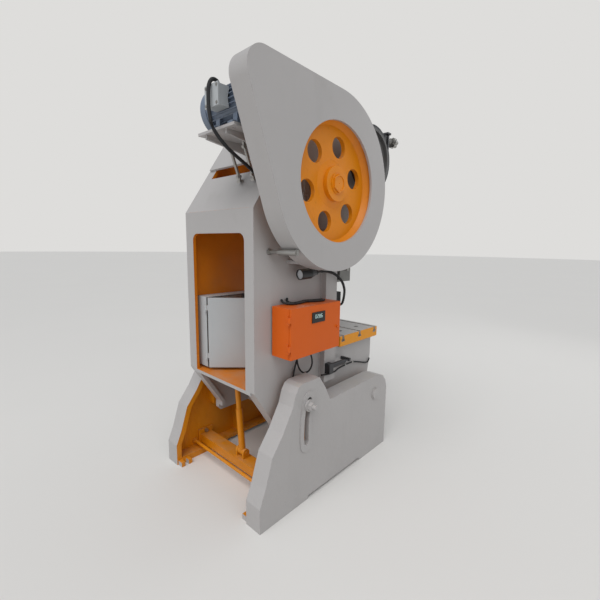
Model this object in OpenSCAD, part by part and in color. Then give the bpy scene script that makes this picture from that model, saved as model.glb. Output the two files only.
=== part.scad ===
// Mechanical stamping press with an open-back frame that tilts in its stand.
// X runs along the crankshaft, the operator stands at -Y, Z is up, lengths in millimetres.

/* [Stand] */
// Inner plane of each leg, from the middle
leg_in = 384; // [370:1:400]
// Thickness of a leg casting
leg_w = 116; // [90:1:140]
// Outer web of a leg
web_t = 26; // [18:1:36]
// Tilt axis, front to back
tilt_y = -475; // [-500:1:-450]
// Tilt axis height
tilt_z = 460; // [440:1:480]
// Radius of the locking slot
slot_r = 768; // [750:1:790]
// Width of the locking slot
slot_w = 38; // [32:1:46]
// Angle of the lock bolt above the tilt axis
lock_a = 12; // [8:0.5:13]
// Middle of the rear tie beam, front to back
beam_y = 367; // [350:1:380]
// Underside of the rear tie beam
beam_z = 50; // [40:1:60]

/* [Body] */
// Half the width over the side plates
body_half = 337; // [320:1:350]
// Side plate thickness
plate_t = 36; // [28:1:44]
// Rear face of the body
rear_y = 546; // [520:1:570]
// Width of each rear flange
flange_w = 79; // [60:1:100]
// Top of the floor plate
floor_z = 716; // [700:1:740]
// Top of the rear opening
open_top = 1607; // [1550:1:1650]
// Height where the rear sheet bends forward
bend_z = 1737; // [1700:1:1780]
// Back of the throat
throat_y = -130; // [-160:1:-110]
// Seat of the bolster
seat_z = 847; // [820:1:870]
// Bolster thickness
bolster_t = 75; // [60:1:90]
// Bolster width
bolster_x = 750; // [680:1:800]
// Bolster depth
bolster_y = 480; // [440:1:520]

/* [Drive] */
// Drive shaft axis, front to back
shaft_y = 107; // [90:1:120]
// Drive shaft axis height
shaft_z = 1888; // [1860:1:1910]
// Drive shaft radius at the bearings
shaft_r = 45; // [40:1:55]
// Crank axis, front to back
crank_y = -435; // [-450:1:-420]
// Crank journal radius
journal_r = 50; // [45:1:60]
// Crankpin radius
pin_r = 65; // [60:1:75]
// Gear module
gear_m = 14; // [12:1:16]
// Pinion teeth
pinion_n = 17; // [17:1:20]
// Bull gear teeth
gear_n = 68; // [60:1:72]
// Gear face width
gear_w = 90; // [70:1:110]
// Flywheel radius
wheel_r = 450; // [430:1:460]
// Flywheel width
wheel_w = 90; // [80:1:100]
// Motor pulley radius
pulley_r = 62; // [56:1:70]
// Motor axis, front to back
motor_y = 576; // [560:1:600]
// Motor axis height
motor_z = 2222; // [2200:1:2240]
// Motor radius over the end covers
motor_r = 118; // [110:1:125]
// Belt guard depth
guard_w = 125; // [110:1:140]
// Brake drum radius
drum_r = 200; // [180:1:210]

/* [Ram] */
// Stroke of the slide
stroke = 100; // [80:1:110]
// Crankpin to ball, the pitman length
pitman = 620; // [600:1:640]
// Underside of the slide at the top of the stroke
slide_z = 1270; // [1260:1:1290]
// Slide height
slide_h = 490; // [450:1:520]
// Slide width between the gibs
slide_x = 330; // [300:1:350]
// Slide depth
slide_y = 300; // [280:1:320]
// Radius of the ball on the adjusting screw
ball_r = 50; // [44:1:54]
// Radius of the tool shank bore
shank_r = 25; // [20:0.5:30]

/* [Fits] */
// Radial clearance of running fits
run = 0.05; // [0.02:0.01:0.1]
// Gap of sliding and standing parts
gap = 0.3; // [0.2:0.1:0.5]

/* [Hidden] */
$fn = 64;
grey = [0.66, 0.65, 0.63];
orange = [0.86, 0.50, 0.08];
yellow = [0.90, 0.62, 0.08];
red = [0.84, 0.28, 0.08];
steel = [0.62, 0.62, 0.62];
bronze = [0.72, 0.52, 0.26];
black = [0.07, 0.07, 0.08];
blue = [0.36, 0.44, 0.54];

leg_out = leg_in + leg_w;
plate_in = body_half - plate_t;
boss_x = leg_in - gap;

// Centre distance of the gears fixes the crank height.
gear_r = gear_m * gear_n / 2;
pinion_r = gear_m * pinion_n / 2;
gear_dist = gear_r + pinion_r;
crank_z = shaft_z + sqrt(pow(gear_dist, 2) - pow(shaft_y - crank_y, 2));
throw = stroke / 2;
pin_z = crank_z + throw;
ball_z = pin_z - pitman;
pressure = 20;
gear_x0 = 400;
backlash = 1.1;

wheel_x0 = -(body_half + 205);
wheel_x1 = wheel_x0 + wheel_w;
guard_x0 = -(body_half + 223);
guard_x1 = guard_x0 + guard_w;
guard_r = 487;
guard_end = [660, 2282, 100];
drum_x0 = -430;
drum_x1 = -374;

lock_y = tilt_y + slot_r * cos(lock_a);
lock_z = tilt_z + slot_r * sin(lock_a);

// Shared shapes.

// Extrudes a side-view outline drawn in Y and Z from x0 to x1.
module side(x0, x1) {
    translate([x0, 0, 0]) rotate([90, 0, 90]) linear_extrude(x1 - x0) children();
}

module x_rod(r, x0, x1, y, z) {
    translate([x0, y, z]) rotate([0, 90, 0]) cylinder(r = r, h = x1 - x0);
}

module y_rod(r, y0, y1, x, z) {
    translate([x, y0, z]) rotate([-90, 0, 0]) cylinder(r = r, h = y1 - y0);
}

module z_rod(r, z0, z1, x, y) {
    translate([x, y, z0]) cylinder(r = r, h = z1 - z0);
}

// Hexagon along X, given across corners / 2.
module x_hex(r, x0, x1, y, z) {
    translate([x0, y, z]) rotate([0, 90, 0]) cylinder(r = r, h = x1 - x0, $fn = 6);
}

module y_hex(r, y0, y1, x, z) {
    translate([x, y0, z]) rotate([-90, 0, 0]) cylinder(r = r, h = y1 - y0, $fn = 6);
}

module z_hex(r, z0, z1, x, y) {
    translate([x, y, z0]) cylinder(r = r, h = z1 - z0, $fn = 6);
}

module block(x0, x1, y0, y1, z0, z1) {
    translate([x0, y0, z0]) cube([x1 - x0, y1 - y0, z1 - z0]);
}

module both_sides() {
    children();
    mirror([1, 0, 0]) children();
}

// Outline wrapped round two circles, each given as [y, z, r].
module wrap(a, b, grow = 0) {
    d = [b[0] - a[0], b[1] - a[1]];
    base = atan2(d[1], d[0]);
    open = acos((a[2] - b[2]) / norm(d));
    n1 = [cos(base + open), sin(base + open)];
    n2 = [cos(base - open), sin(base - open)];
    ra = a[2] + grow;
    rb = b[2] + grow;
    translate([a[0], a[1]]) circle(r = ra);
    translate([b[0], b[1]]) circle(r = rb);
    polygon([[a[0], a[1]] + ra * n1, [b[0], b[1]] + rb * n1,
        [b[0], b[1]] + rb * n2, [a[0], a[1]] + ra * n2]);
}

// Part of a ring about the tilt axis, with round ends.
module tilt_arc(w, a0, a1) {
    far = 1.2 * slot_r;
    translate([tilt_y, tilt_z]) {
        intersection() {
            difference() {
                circle(r = slot_r + w / 2, $fn = 180);
                circle(r = slot_r - w / 2, $fn = 180);
            }
            polygon([[0, 0], far * [cos(a0), sin(a0)], far * [cos(a1), sin(a1)]]);
        }
        for (a = [a0, a1]) translate(slot_r * [cos(a), sin(a)]) circle(r = w / 2);
    }
}

// Involute tooth form, as points of one flank from the root to the tip.
function inv_angle(rb, r) = sqrt(pow(r / rb, 2) - 1) * 180 / PI - acos(rb / r);
function flank(n, steps) =
    let (rp = gear_m * n / 2, rb = rp * cos(pressure), ra = rp + gear_m,
        half = 90 / n - backlash / 2 / rp * 180 / PI + inv_angle(rb, rp))
    [for (i = [0:steps]) let (r = rb + (ra - rb) * pow(i / steps, 1.3))
        [r, half - inv_angle(rb, max(r, rb + 0.001))]];
function tooth(n, steps) =
    let (f = flank(n, steps), root = gear_m * (n / 2 - 1.25))
    concat([[root, min(f[0][1] * 1.06, 150 / n)]], f[0][0] > root ? f : [for (p = f) if (p[0] > root) p]);

// Toothed disc outline with a tooth centred on angle a0.
module gear_outline(n, a0, steps) {
    t = tooth(n, steps);
    k = len(t);
    polygon([for (j = [0:n - 1], i = [0:2 * k - 1])
        let (p = i < k ? t[i] : t[2 * k - 1 - i], s = i < k ? -1 : 1,
            a = a0 + j * 360 / n + s * p[1])
        p[0] * [cos(a), sin(a)]]);
}

// Stand.

leg_points = [[649, 0], [649, 146], [610, 240], [559, 406], [478, 513], [403, 643],
    [380, 715], [355, 750], [325, 762], [174, 762], [112, 678], [66, 592], [54, 585],
    [-503, 596], [-585, 572], [-630, 522], [-649, 460], [-649, 0], [-302, 0],
    [-290, 22], [258, 22], [270, 0]];
pocket_points = [[613, 40], [613, 140], [575, 230], [526, 392], [446, 495], [371, 625],
    [350, 695], [330, 724], [196, 724], [146, 658], [98, 566], [70, 550], [-500, 560],
    [-566, 540], [-600, 500], [-613, 450], [-613, 40]];
rib_t = 24;
foot_h = 32;
beam_plate = 16;
beam_bolts = [beam_z + 25, beam_z + 80];
rear_rod = [460, 79];
front_rod = [-560, 130];

module leg() {
    difference() {
        union() {
            difference() {
                side(leg_in, leg_out) polygon(leg_points);
                side(leg_in - 1, leg_out - web_t) polygon(pocket_points);
            }
            // slot pad through the pocket and raised on the outer face
            side(leg_in, leg_out + 7) tilt_arc(slot_w + 62, -6, 14.5);
            x_rod(72, leg_in, leg_out, tilt_y, tilt_z);
            x_rod(44, leg_out - 1, leg_out + 5, tilt_y, tilt_z);
            // ribs inside the pocket
            for (y = [-250, 80])
                block(leg_in + 20, leg_out - web_t + 1, y, y + rib_t, 38, y < 0 ? 565 : 580);
            // anchor feet on the inner side
            for (y = [-640, 560]) block(leg_in - 46, leg_in + 1, y, y + 80, 0, foot_h);
        }
        side(leg_in - 1, leg_out + 9) tilt_arc(slot_w, -5, 14.2);
        x_rod(30 + run, leg_in - 1, leg_out + 9, tilt_y, tilt_z);
        for (y = [-600, 600]) {
            z_rod(14, -1, foot_h + 1, leg_in - 22, y);
            block(leg_in - 60, leg_in - 22, y - 14, y + 14, -1, foot_h + 1);
        }
        // seats of the tie beam bolts and of both tie rods
        for (z = beam_bolts) x_rod(9 + run, leg_out - web_t - 1, leg_out + 1, beam_y, z);
        x_rod(11 + run, leg_out - web_t - 1, leg_out + 1, rear_rod[0], rear_rod[1]);
        x_rod(16 + run, leg_out - web_t - 1, leg_out + 1, front_rod[0], front_rod[1]);
    }
}

module leg_right() { color(grey) leg(); }
module leg_left() { color(grey) mirror([1, 0, 0]) leg(); }

beam_end = leg_out - web_t - gap;
module tie_beam() {
    color(yellow) difference() {
        union() {
            difference() {
                block(-beam_end + beam_plate, beam_end - beam_plate, beam_y - 46, beam_y + 46,
                    beam_z, beam_z + 63);
                block(-beam_end + beam_plate, beam_end - beam_plate, beam_y - 34, beam_y + 34,
                    beam_z - 1, beam_z + 51);
            }
            both_sides() block(beam_end - beam_plate, beam_end, beam_y - 62, beam_y + 62,
                beam_z - 8, beam_z + 98);
            // lugs of the tilting strut
            for (s = [-1, 1]) side(8 + s * 34 - 8, 8 + s * 34 + 8) {
                translate([beam_y, strut_foot_z]) circle(r = 26);
                translate([beam_y - 26, beam_z + 60]) square([52, strut_foot_z - beam_z - 60]);
            }
        }
        x_rod(10 + run, -60, 80, beam_y, strut_foot_z);
        both_sides() for (z = beam_bolts) x_rod(9 + run, beam_end - 20, beam_end + 2, beam_y, z);
    }
}

module tie_beam_bolts() {
    color(steel) both_sides() for (z = beam_bolts) {
        x_rod(9, beam_end - beam_plate - 14, leg_out, beam_y, z);
        x_hex(15, beam_end - beam_plate - 14, beam_end - beam_plate - gap, beam_y, z);
    }
}

module tie_rods() {
    color(yellow) both_rods(11, 19, rear_rod);
    color(yellow) both_rods(16, 27, front_rod);
}

// Full-width rod at [y, z] with a nut inside each leg.
module both_rods(r, nut_r, at) {
    x_rod(r, -leg_out + gap, leg_out - gap, at[0], at[1]);
    both_sides() x_hex(nut_r, leg_out - web_t - r - 8, leg_out - web_t - gap, at[0], at[1]);
}

module pivot_pins() {
    color(steel) both_sides() {
        x_rod(30, plate_in - 40, leg_out + 5, tilt_y, tilt_z);
        x_rod(37, leg_out + 5 + gap, leg_out + 14, tilt_y, tilt_z);
        x_rod(20, leg_out + 5, leg_out + 6, tilt_y, tilt_z);
    }
}

// Body.

seat_half = 140;
plate_points = [[335, 340], [352, 363], [350, 415], [rear_y, floor_z], [rear_y, bend_z],
    [398, 1958], [256, 2169], [190, 2250], [crank_y + seat_half + 10, 2250],
    [crank_y + seat_half + 10, crank_z], [crank_y - seat_half, crank_z],
    [crank_y - seat_half, 1580], [-545, 1530], [-250, 1425], [throat_y, 1345],
    [throat_y, seat_z], [-650, seat_z], [-650, 690], [-600, 430], [-560, 360], [-500, 340]];
shell_t = 20;
floor_t = 20;
slope_a = [398, 1958];
slope_b = [256, 2169];
slope_m = slope_a + 0.36 * (slope_b - slope_a);
slope_d = (slope_b - slope_a) / norm(slope_b - slope_a);

// Point at a distance up the rear slope and a distance out from it.
function on_slope(up, out) = slope_a + up * slope_d + out * [slope_d[1], -slope_d[0]];

screw_dx = 270;
screw_dy = 105;

module opening_outline() {
    half = body_half - flange_w;
    r = 45;
    difference() {
        translate([-half, floor_z]) square([2 * half, open_top - floor_z]);
        for (s = [-1, 1]) translate([s * half, open_top]) difference() {
            translate([-r, -r]) square(2 * r);
            translate([-s * r, -r]) circle(r = r);
            translate([s > 0 ? -2 * r : 0, -2 * r]) square([2 * r, r]);
            translate([s > 0 ? -2 * r : r, -2 * r]) square([r, 3 * r]);
        }
    }
}

module rear_sheet() {
    difference() {
        block(-plate_in - 1, plate_in + 1, rear_y - shell_t, rear_y, floor_z - floor_t, bend_z);
        translate([0, rear_y + 1, 0]) rotate([90, 0, 0]) linear_extrude(shell_t + 2) opening_outline();
    }
}

module c_frame() {
    color(grey) difference() {
        union() {
            both_sides() {
                side(plate_in, body_half) polygon(plate_points);
                // thick strip along the throat
                side(body_half - 1, body_half + 43)
                    polygon([[-16, 640], [-16, 1650], [throat_y, 1650], [throat_y, 640]]);
                // flanges along the diagonal and the slope
                side(body_half - flange_w, plate_in + 1)
                    polygon([[rear_y, floor_z], [350, 415], [350, 385], [326, 392], [326, 418],
                        [rear_y - 30, floor_z]]);
                side(body_half - flange_w, plate_in + 1)
                    polygon([slope_a, slope_b, on_slope(254, -20), on_slope(-8, -20), on_slope(-8, -2)]);
                // tilt and lock bosses
                x_rod(75, plate_in - 50, boss_x, tilt_y, tilt_z);
                x_rod(52, plate_in - 1, boss_x, lock_y, lock_z);
                // crank bearing blocks
                block(plate_in - 54, plate_in + 1, crank_y - seat_half, crank_y + seat_half + 10,
                    crank_z - 175, crank_z);
                x_rod(96, plate_in - 14, plate_in + 1, shaft_y, shaft_z);
            }
            rear_sheet();
            side(-plate_in - 1, plate_in + 1)
                polygon([[rear_y, bend_z], [398, 1958], [388, 1951], [rear_y - 14, bend_z - 2]]);
            // floor, arm and head cross plates
            block(-plate_in - 1, plate_in + 1, throat_y, rear_y, floor_z - floor_t, floor_z);
            block(-plate_in - 1, plate_in + 1, -640, throat_y, seat_z - 40, seat_z);
            block(-plate_in - 1, plate_in + 1, -650, -620, 690, seat_z);
            block(-plate_in - 1, plate_in + 1, throat_y, throat_y + 20, floor_z - 10, seat_z);
            block(-plate_in - 1, plate_in + 1, 60, 80, 340, floor_z - 10);
            block(-plate_in - 1, plate_in + 1, -560, 70, 340, 360);
            block(-plate_in - 1, plate_in + 1, -255, -225, 1430, 1960);
            block(-plate_in - 1, plate_in + 1, crank_y + seat_half + 10, 190, 2230, 2250);
            // motor seat on the slope
            side(-plate_in - 1, plate_in + 1)
                polygon([slope_m, slope_b, on_slope(252, -17), on_slope(92, -17)]);
            // lug of the tilting strut under the floor
            for (s = [-1, 1]) side(8 + s * 34 - 8, 8 + s * 34 + 8) {
                translate([strut_top_y, strut_top_z]) circle(r = 24);
                translate([strut_top_y - 24, strut_top_z]) square([48, floor_z - 10 - strut_top_z]);
            }
        }
        both_sides() {
            x_rod(30 + run, plate_in - 60, boss_x + 1, tilt_y, tilt_z);
            x_rod(15 + run, plate_in - 10, boss_x + 1, lock_y, lock_z);
            x_rod(75, plate_in - 20, body_half + 1, shaft_y, shaft_z);
            x_rod(journal_r + 15, plate_in - 60, body_half + 1, crank_y, crank_z);
            for (y = [-115, 115]) z_rod(12 + run, crank_z - 120, crank_z + 1, body_half - 45, crank_y + y);
        }
        // drop holes of the arm plate and of the bottom plate, and bolster screw holes
        z_rod(95, seat_z - 60, seat_z + 1, 0, crank_y);
        z_rod(110, 335, 365, 0, crank_y);
        for (x = [-screw_dx, screw_dx], y = [-screw_dy, screw_dy])
            z_rod(10 + run, seat_z - 30, seat_z + 1, x, crank_y + y);
        x_rod(10 + run, -60, 80, strut_top_y, strut_top_z);
        // gib bolts
        for (x = [-1, 1], z = [1520, 1750])
            y_rod(10 + run, -260, -220, x * gib_bolt_x, z);
    }
}

module lock_bolts() {
    color(steel) both_sides() {
        x_rod(15, plate_in + 2, leg_out + 66, lock_y, lock_z);
        x_rod(36, leg_out + 7 + gap, leg_out + 19, lock_y, lock_z);
        x_hex(26, leg_out + 19, leg_out + 44, lock_y, lock_z);
    }
}

bolster_y0 = crank_y - bolster_y / 2;
module t_slot(y) {
    block(-bolster_x, bolster_x, y - 11, y + 11, seat_z + bolster_t - 26, seat_z + bolster_t + 1);
    block(-bolster_x, bolster_x, y - 20, y + 20, seat_z + bolster_t - 42, seat_z + bolster_t - 25);
}

module bolster() {
    color(yellow) difference() {
        block(-bolster_x / 2, bolster_x / 2, bolster_y0, bolster_y0 + bolster_y, seat_z, seat_z + bolster_t);
        z_rod(75, seat_z - 1, seat_z + bolster_t + 1, 0, crank_y);
        for (s = [-1, 0, 1]) t_slot(crank_y + s * 205);
        for (x = [-screw_dx, screw_dx], y = [-screw_dy, screw_dy]) {
            z_rod(10 + run, seat_z - 1, seat_z + bolster_t + 1, x, crank_y + y);
            z_rod(17, seat_z + bolster_t - 22, seat_z + bolster_t + 1, x, crank_y + y);
        }
    }
}

module bolster_screws() {
    for (y = [-screw_dy, screw_dy]) union() {
        z_rod(10, seat_z - 28, seat_z + bolster_t - 22, screw_dx, crank_y + y);
        difference() {
            z_rod(16, seat_z + bolster_t - 22 + 0.01, seat_z + bolster_t - 4, screw_dx, crank_y + y);
            z_hex(9, seat_z + bolster_t - 12, seat_z + bolster_t, screw_dx, crank_y + y);
        }
    }
}

module frame_bolts() {
    color(steel) both_sides() {
        bolster_screws();
        gib_bolts();
        cap_bolts();
    }
}

// Ram guides.

tongue = 40;
tongue_y = 40;
guide = 0.2;
gib_x1 = plate_in - gap;
gib_bolt_x = 255;
gib_z0 = 1480;
gib_z1 = 1800;

module gib() {
    difference() {
        block(slide_x / 2 + guide, gib_x1, crank_y - 125, -255 - gap, gib_z0, gib_z1);
        block(slide_x / 2 - 1, slide_x / 2 + tongue + guide, crank_y - tongue_y - guide,
            crank_y + tongue_y + guide, gib_z0 - 1, gib_z1 + 1);
        for (z = [1520, 1750]) {
            y_rod(10 + run, crank_y - 126, -250, gib_bolt_x, z);
            y_rod(18, crank_y - 126, crank_y - 107, gib_bolt_x, z);
        }
        z_rod(10 + run, gib_z0 - 1, gib_z0 + 50, 232, crank_y);
    }
}

module gibs() { color(steel) both_sides() gib(); }

module gib_bolts() {
    for (z = [1520, 1750]) difference() {
        union() {
            y_rod(10, crank_y - 107, -222, gib_bolt_x, z);
            y_rod(17, crank_y - 125, crank_y - 107 - gap, gib_bolt_x, z);
            y_rod(10, crank_y - 108, crank_y - 106, gib_bolt_x, z);
        }
        y_hex(9, crank_y - 126, crank_y - 114, gib_bolt_x, z);
    }
}

module knockout_stops() {
    color(steel) both_sides() {
        z_rod(10, 1436, gib_z0 + 48, 232, crank_y);
        z_hex(16, 1458, gib_z0 - gap, 232, crank_y);
    }
}

// Crank.

cap_x0 = plate_in - 54;

module crank_caps() {
    color(grey) both_sides() difference() {
        side(cap_x0, body_half) difference() {
            union() {
                intersection() {
                    translate([crank_y, crank_z]) circle(r = 125);
                    translate([crank_y - 130, crank_z + gap]) square([260, 130]);
                }
                translate([crank_y - seat_half, crank_z + gap]) square([2 * seat_half + 10 - gap, 62]);
            }
            translate([crank_y, crank_z]) circle(r = journal_r + 15);
        }
        for (y = [-115, 115]) {
            z_rod(12 + run, crank_z - 1, crank_z + 70, body_half - 45, crank_y + y);
            z_rod(24, crank_z + 62, crank_z + 130, body_half - 45, crank_y + y);
        }
    }
}

module cap_bolts() {
    for (y = [-115, 115]) {
        z_rod(12, crank_z - 118, crank_z + 92, body_half - 45, crank_y + y);
        z_hex(21, crank_z + 62 + 2 * gap, crank_z + 82, body_half - 45, crank_y + y);
    }
}

module crank_bushes() {
    color(bronze) both_sides() difference() {
        union() {
            x_rod(journal_r + 15 - run, cap_x0, body_half + gap, crank_y, crank_z);
            x_rod(journal_r + 26, body_half + gap, body_half + 9, crank_y, crank_z);
        }
        x_rod(journal_r + run, cap_x0 - 1, body_half + 10, crank_y, crank_z);
    }
}

cheek_x0 = 66;
cheek_x1 = 120;
crank_end = gear_x0 + gear_w + 70;

module crankshaft() {
    color(steel) union() {
        x_rod(journal_r, drum_x0 - 4, -cheek_x1 + 1, crank_y, crank_z);
        x_rod(journal_r, cheek_x1 - 1, crank_end, crank_y, crank_z);
        both_sides() {
            side(cheek_x0, cheek_x1) wrap([crank_y, crank_z, 82], [crank_y, pin_z, 84 - 0.5]);
            x_rod(journal_r + 12, cheek_x1 - 1, cap_x0 - 2, crank_y, crank_z);
        }
        x_rod(pin_r, -cheek_x0 - 1, cheek_x0 + 1, crank_y, pin_z);
    }
}

module brake_drum() {
    color([0.40, 0.41, 0.43]) difference() {
        union() {
            difference() {
                x_rod(drum_r, drum_x0, drum_x1, crank_y, crank_z);
                x_rod(drum_r - 18, drum_x0 - 1, drum_x0 + 22, crank_y, crank_z);
                x_rod(drum_r - 18, drum_x1 - 16, drum_x1 + 1, crank_y, crank_z);
            }
            x_rod(82, drum_x0, drum_x1, crank_y, crank_z);
        }
        x_rod(journal_r + run, drum_x0 - 1, drum_x1 + 1, crank_y, crank_z);
        for (a = [45:90:315])
            x_rod(26, drum_x0, drum_x1, crank_y + 130 * cos(a), crank_z + 130 * sin(a));
    }
}

band_t = 15;
band_r = drum_r + gap;
bolt_z = 2296;
bolt_x = (drum_x0 + drum_x1) / 2;

bolt_end = -579;
bracket_z = 2326;
lug_t = 16;

module brake_band() {
    color([0.33, 0.34, 0.36]) difference() {
        side(drum_x0 + 2, drum_x1 - 2) difference() {
            union() {
                translate([crank_y, crank_z]) circle(r = band_r + band_t);
                // lugs of the two band ends
                translate([-592, crank_z + 118]) square([lug_t, bracket_z - 40 - crank_z - 88]);
                translate([-632, crank_z + 92]) square([lug_t, bracket_z - gap - crank_z - 92]);
            }
            translate([crank_y, crank_z]) circle(r = band_r);
            translate([-632 + lug_t, crank_z + 60]) square([24, 200]);
        }
        y_rod(9 + run, -640, bolt_end + gap, bolt_x, bolt_z);
    }
}

// Arm on the crank cap that holds the fixed end of the band.
module brake_bracket() {
    color([0.33, 0.34, 0.36]) union() {
        side(-body_half - 20, -body_half - gap) polygon([[-560, crank_z + 4], [-522, crank_z + 58],
            [-545, 2236], [-598, bracket_z + 4], [-640, bracket_z + 4], [-640, 2290],
            [-572, crank_z + 20]]);
        block(-437, -body_half - 4, -640, -596, bracket_z, bracket_z + 12);
    }
}

module brake_bolt() {
    color(steel) union() {
        y_rod(9, -762, bolt_end, bolt_x, bolt_z);
        for (y = [-696:14:-640]) y_rod(17, y, y + 7, bolt_x, bolt_z);
        y_rod(24, -712, -702, bolt_x, bolt_z);
        for (a = [0:60:300]) y_rod(14, -748, -712, bolt_x + 22 * cos(a), bolt_z + 22 * sin(a));
        y_rod(24, -748, -712, bolt_x, bolt_z);
    }
}

mesh_a = atan2(shaft_z - crank_z, shaft_y - crank_y);

module bull_gear() {
    color(steel) difference() {
        union() {
            difference() {
                side(gear_x0, gear_x0 + gear_w) translate([crank_y, crank_z])
                    gear_outline(gear_n, mesh_a + 180 / gear_n, 3);
                for (x = [gear_x0 - 1, gear_x0 + gear_w - 28])
                    x_rod(420, x, x + 29, crank_y, crank_z);
            }
            x_rod(112, gear_x0 - 16, gear_x0 + gear_w + 10, crank_y, crank_z);
        }
        x_rod(journal_r + run, gear_x0 - 20, gear_x0 + gear_w + 20, crank_y, crank_z);
        for (a = [30:60:330])
            x_rod(74, gear_x0, gear_x0 + gear_w, crank_y + 270 * cos(a), crank_z + 270 * sin(a));
    }
}

module clutch_hub() {
    color(steel) difference() {
        union() {
            x_rod(96, gear_x0 + gear_w + 12, crank_end - 14, crank_y, crank_z);
            x_rod(70, crank_end - 14, crank_end - 2, crank_y, crank_z);
            side(gear_x0 + gear_w + 16, crank_end - 20) translate([crank_y + 60, crank_z - 20])
                square([72, 40]);
        }
        x_rod(journal_r + run, gear_x0 + gear_w, crank_end + 1, crank_y, crank_z);
        for (a = [0:90:270])
            x_rod(7, crank_end - 30, crank_end, crank_y + 60 * cos(a), crank_z + 60 * sin(a));
    }
}

// Drive shaft.

housing_x1 = body_half + 36;
shaft_left = wheel_x0 - 12;
pinion_x1 = gear_x0 + gear_w + 3;

module shaft_housings() {
    color(grey) both_sides() difference() {
        union() {
            x_rod(75 - run, plate_in - 10, body_half + 1, shaft_y, shaft_z);
            x_rod(112, body_half + gap, housing_x1 - 6, shaft_y, shaft_z);
            x_rod(90, housing_x1 - 7, housing_x1, shaft_y, shaft_z);
            for (a = [30:60:330]) {
                x_hex(12, housing_x1 - 7, housing_x1 + 3, shaft_y + 100 * cos(a), shaft_z + 100 * sin(a));
            }
        }
        x_rod(62, plate_in - 11, housing_x1 - 8, shaft_y, shaft_z);
        x_rod(shaft_r + 3, plate_in - 11, housing_x1 + 1, shaft_y, shaft_z);
    }
}

module shaft_bearings() {
    color(bronze) both_sides() difference() {
        x_rod(62 - run, plate_in - 6, housing_x1 - 8 - gap, shaft_y, shaft_z);
        x_rod(shaft_r + run, plate_in - 7, housing_x1, shaft_y, shaft_z);
    }
}

module drive_shaft() {
    color(steel) difference() {
        union() {
            x_rod(shaft_r, -housing_x1 - 2, housing_x1 + 2, shaft_y, shaft_z);
            x_rod(shaft_r - 5, shaft_left, pinion_x1 + 12, shaft_y, shaft_z);
        }
        translate([shaft_left - 1, shaft_y, shaft_z]) rotate([0, 90, 0])
            cylinder(r1 = 6, r2 = 0.5, h = 8);
    }
}

// V grooves along the rim, their depth and their outline.
groove_x = [20, 45, 70];
groove_d = 15;
module groove() {
    polygon([[1, -9.2], [1, 9.2], [-groove_d, 6.6], [-groove_d, -6.6]]);
}

module wheel_profile() {
    union() {
        polygon([[345, 0], [wheel_r, 0], [wheel_r, wheel_w], [345, wheel_w], [312, 68],
            [130, 68], [96, 80], [96, wheel_w], [shaft_r - 5 + run, wheel_w], [shaft_r - 5 + run, 0],
            [96, 0], [96, 28], [130, 42], [312, 42], [338, 8]]);
    }
}

module flywheel() {
    color([0.93, 0.56, 0.06]) difference() {
        translate([wheel_x0, shaft_y, shaft_z]) rotate([0, 90, 0]) rotate_extrude($fn = 120)
            difference() {
                wheel_profile();
                for (x = groove_x) translate([wheel_r, x]) groove();
            }
        for (a = [45:60:345])
            x_rod(59, wheel_x0 + 30, wheel_x0 + 80, shaft_y + 215 * cos(a), shaft_z + 215 * sin(a));
    }
}

module wheel_nut() {
    color(steel) difference() {
        union() {
            x_rod(58, wheel_x0 - 6, wheel_x0 - gap, shaft_y, shaft_z);
            x_hex(52, wheel_x0 - 16, wheel_x0 - 5, shaft_y, shaft_z);
        }
        x_rod(shaft_r - 5 + run, wheel_x0 - 20, wheel_x0 + 1, shaft_y, shaft_z);
    }
}

module pinion() {
    color(steel) difference() {
        union() {
            side(gear_x0 - 3, pinion_x1) translate([shaft_y, shaft_z])
                gear_outline(pinion_n, mesh_a + 180, 4);
            x_rod(85, housing_x1 + 6, gear_x0 - 2, shaft_y, shaft_z);
            x_rod(64, pinion_x1 - 1, pinion_x1 + 10, shaft_y, shaft_z);
        }
        x_rod(shaft_r - 5 + run, housing_x1, pinion_x1 + 20, shaft_y, shaft_z);
    }
}

cover_a = [crank_y, crank_z, gear_r + gear_m + 25];
cover_b = [shaft_y, shaft_z, pinion_r + gear_m + 26];
cover_x0 = body_half + 15;
cover_x1 = crank_end + 14;

module gear_cover() {
    color(grey) union() {
        difference() {
            side(cover_x0, cover_x1) wrap(cover_a, cover_b);
            side(cover_x0 - 1, cover_x1 - 4) wrap(cover_a, cover_b, -4);
        }
        for (p = [[-200, 1677], [160, 2094], [crank_y - 113, crank_z - 489]]) {
            x_rod(9, body_half + gap, cover_x1 - 3, p[0], p[1]);
            x_rod(18, body_half + gap, body_half + 8, p[0], p[1]);
            x_hex(11, cover_x1 - 1, cover_x1 + 7, p[0], p[1]);
        }
    }
}

// Connecting rod and slide.

rod_half = 62;
end_r = 108;
screw_r = 32;

module rod_bolt_holes() {
    for (y = [-88, 88]) z_rod(10 + run, pin_z - 70, pin_z + 80, 0, crank_y + y);
}

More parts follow.
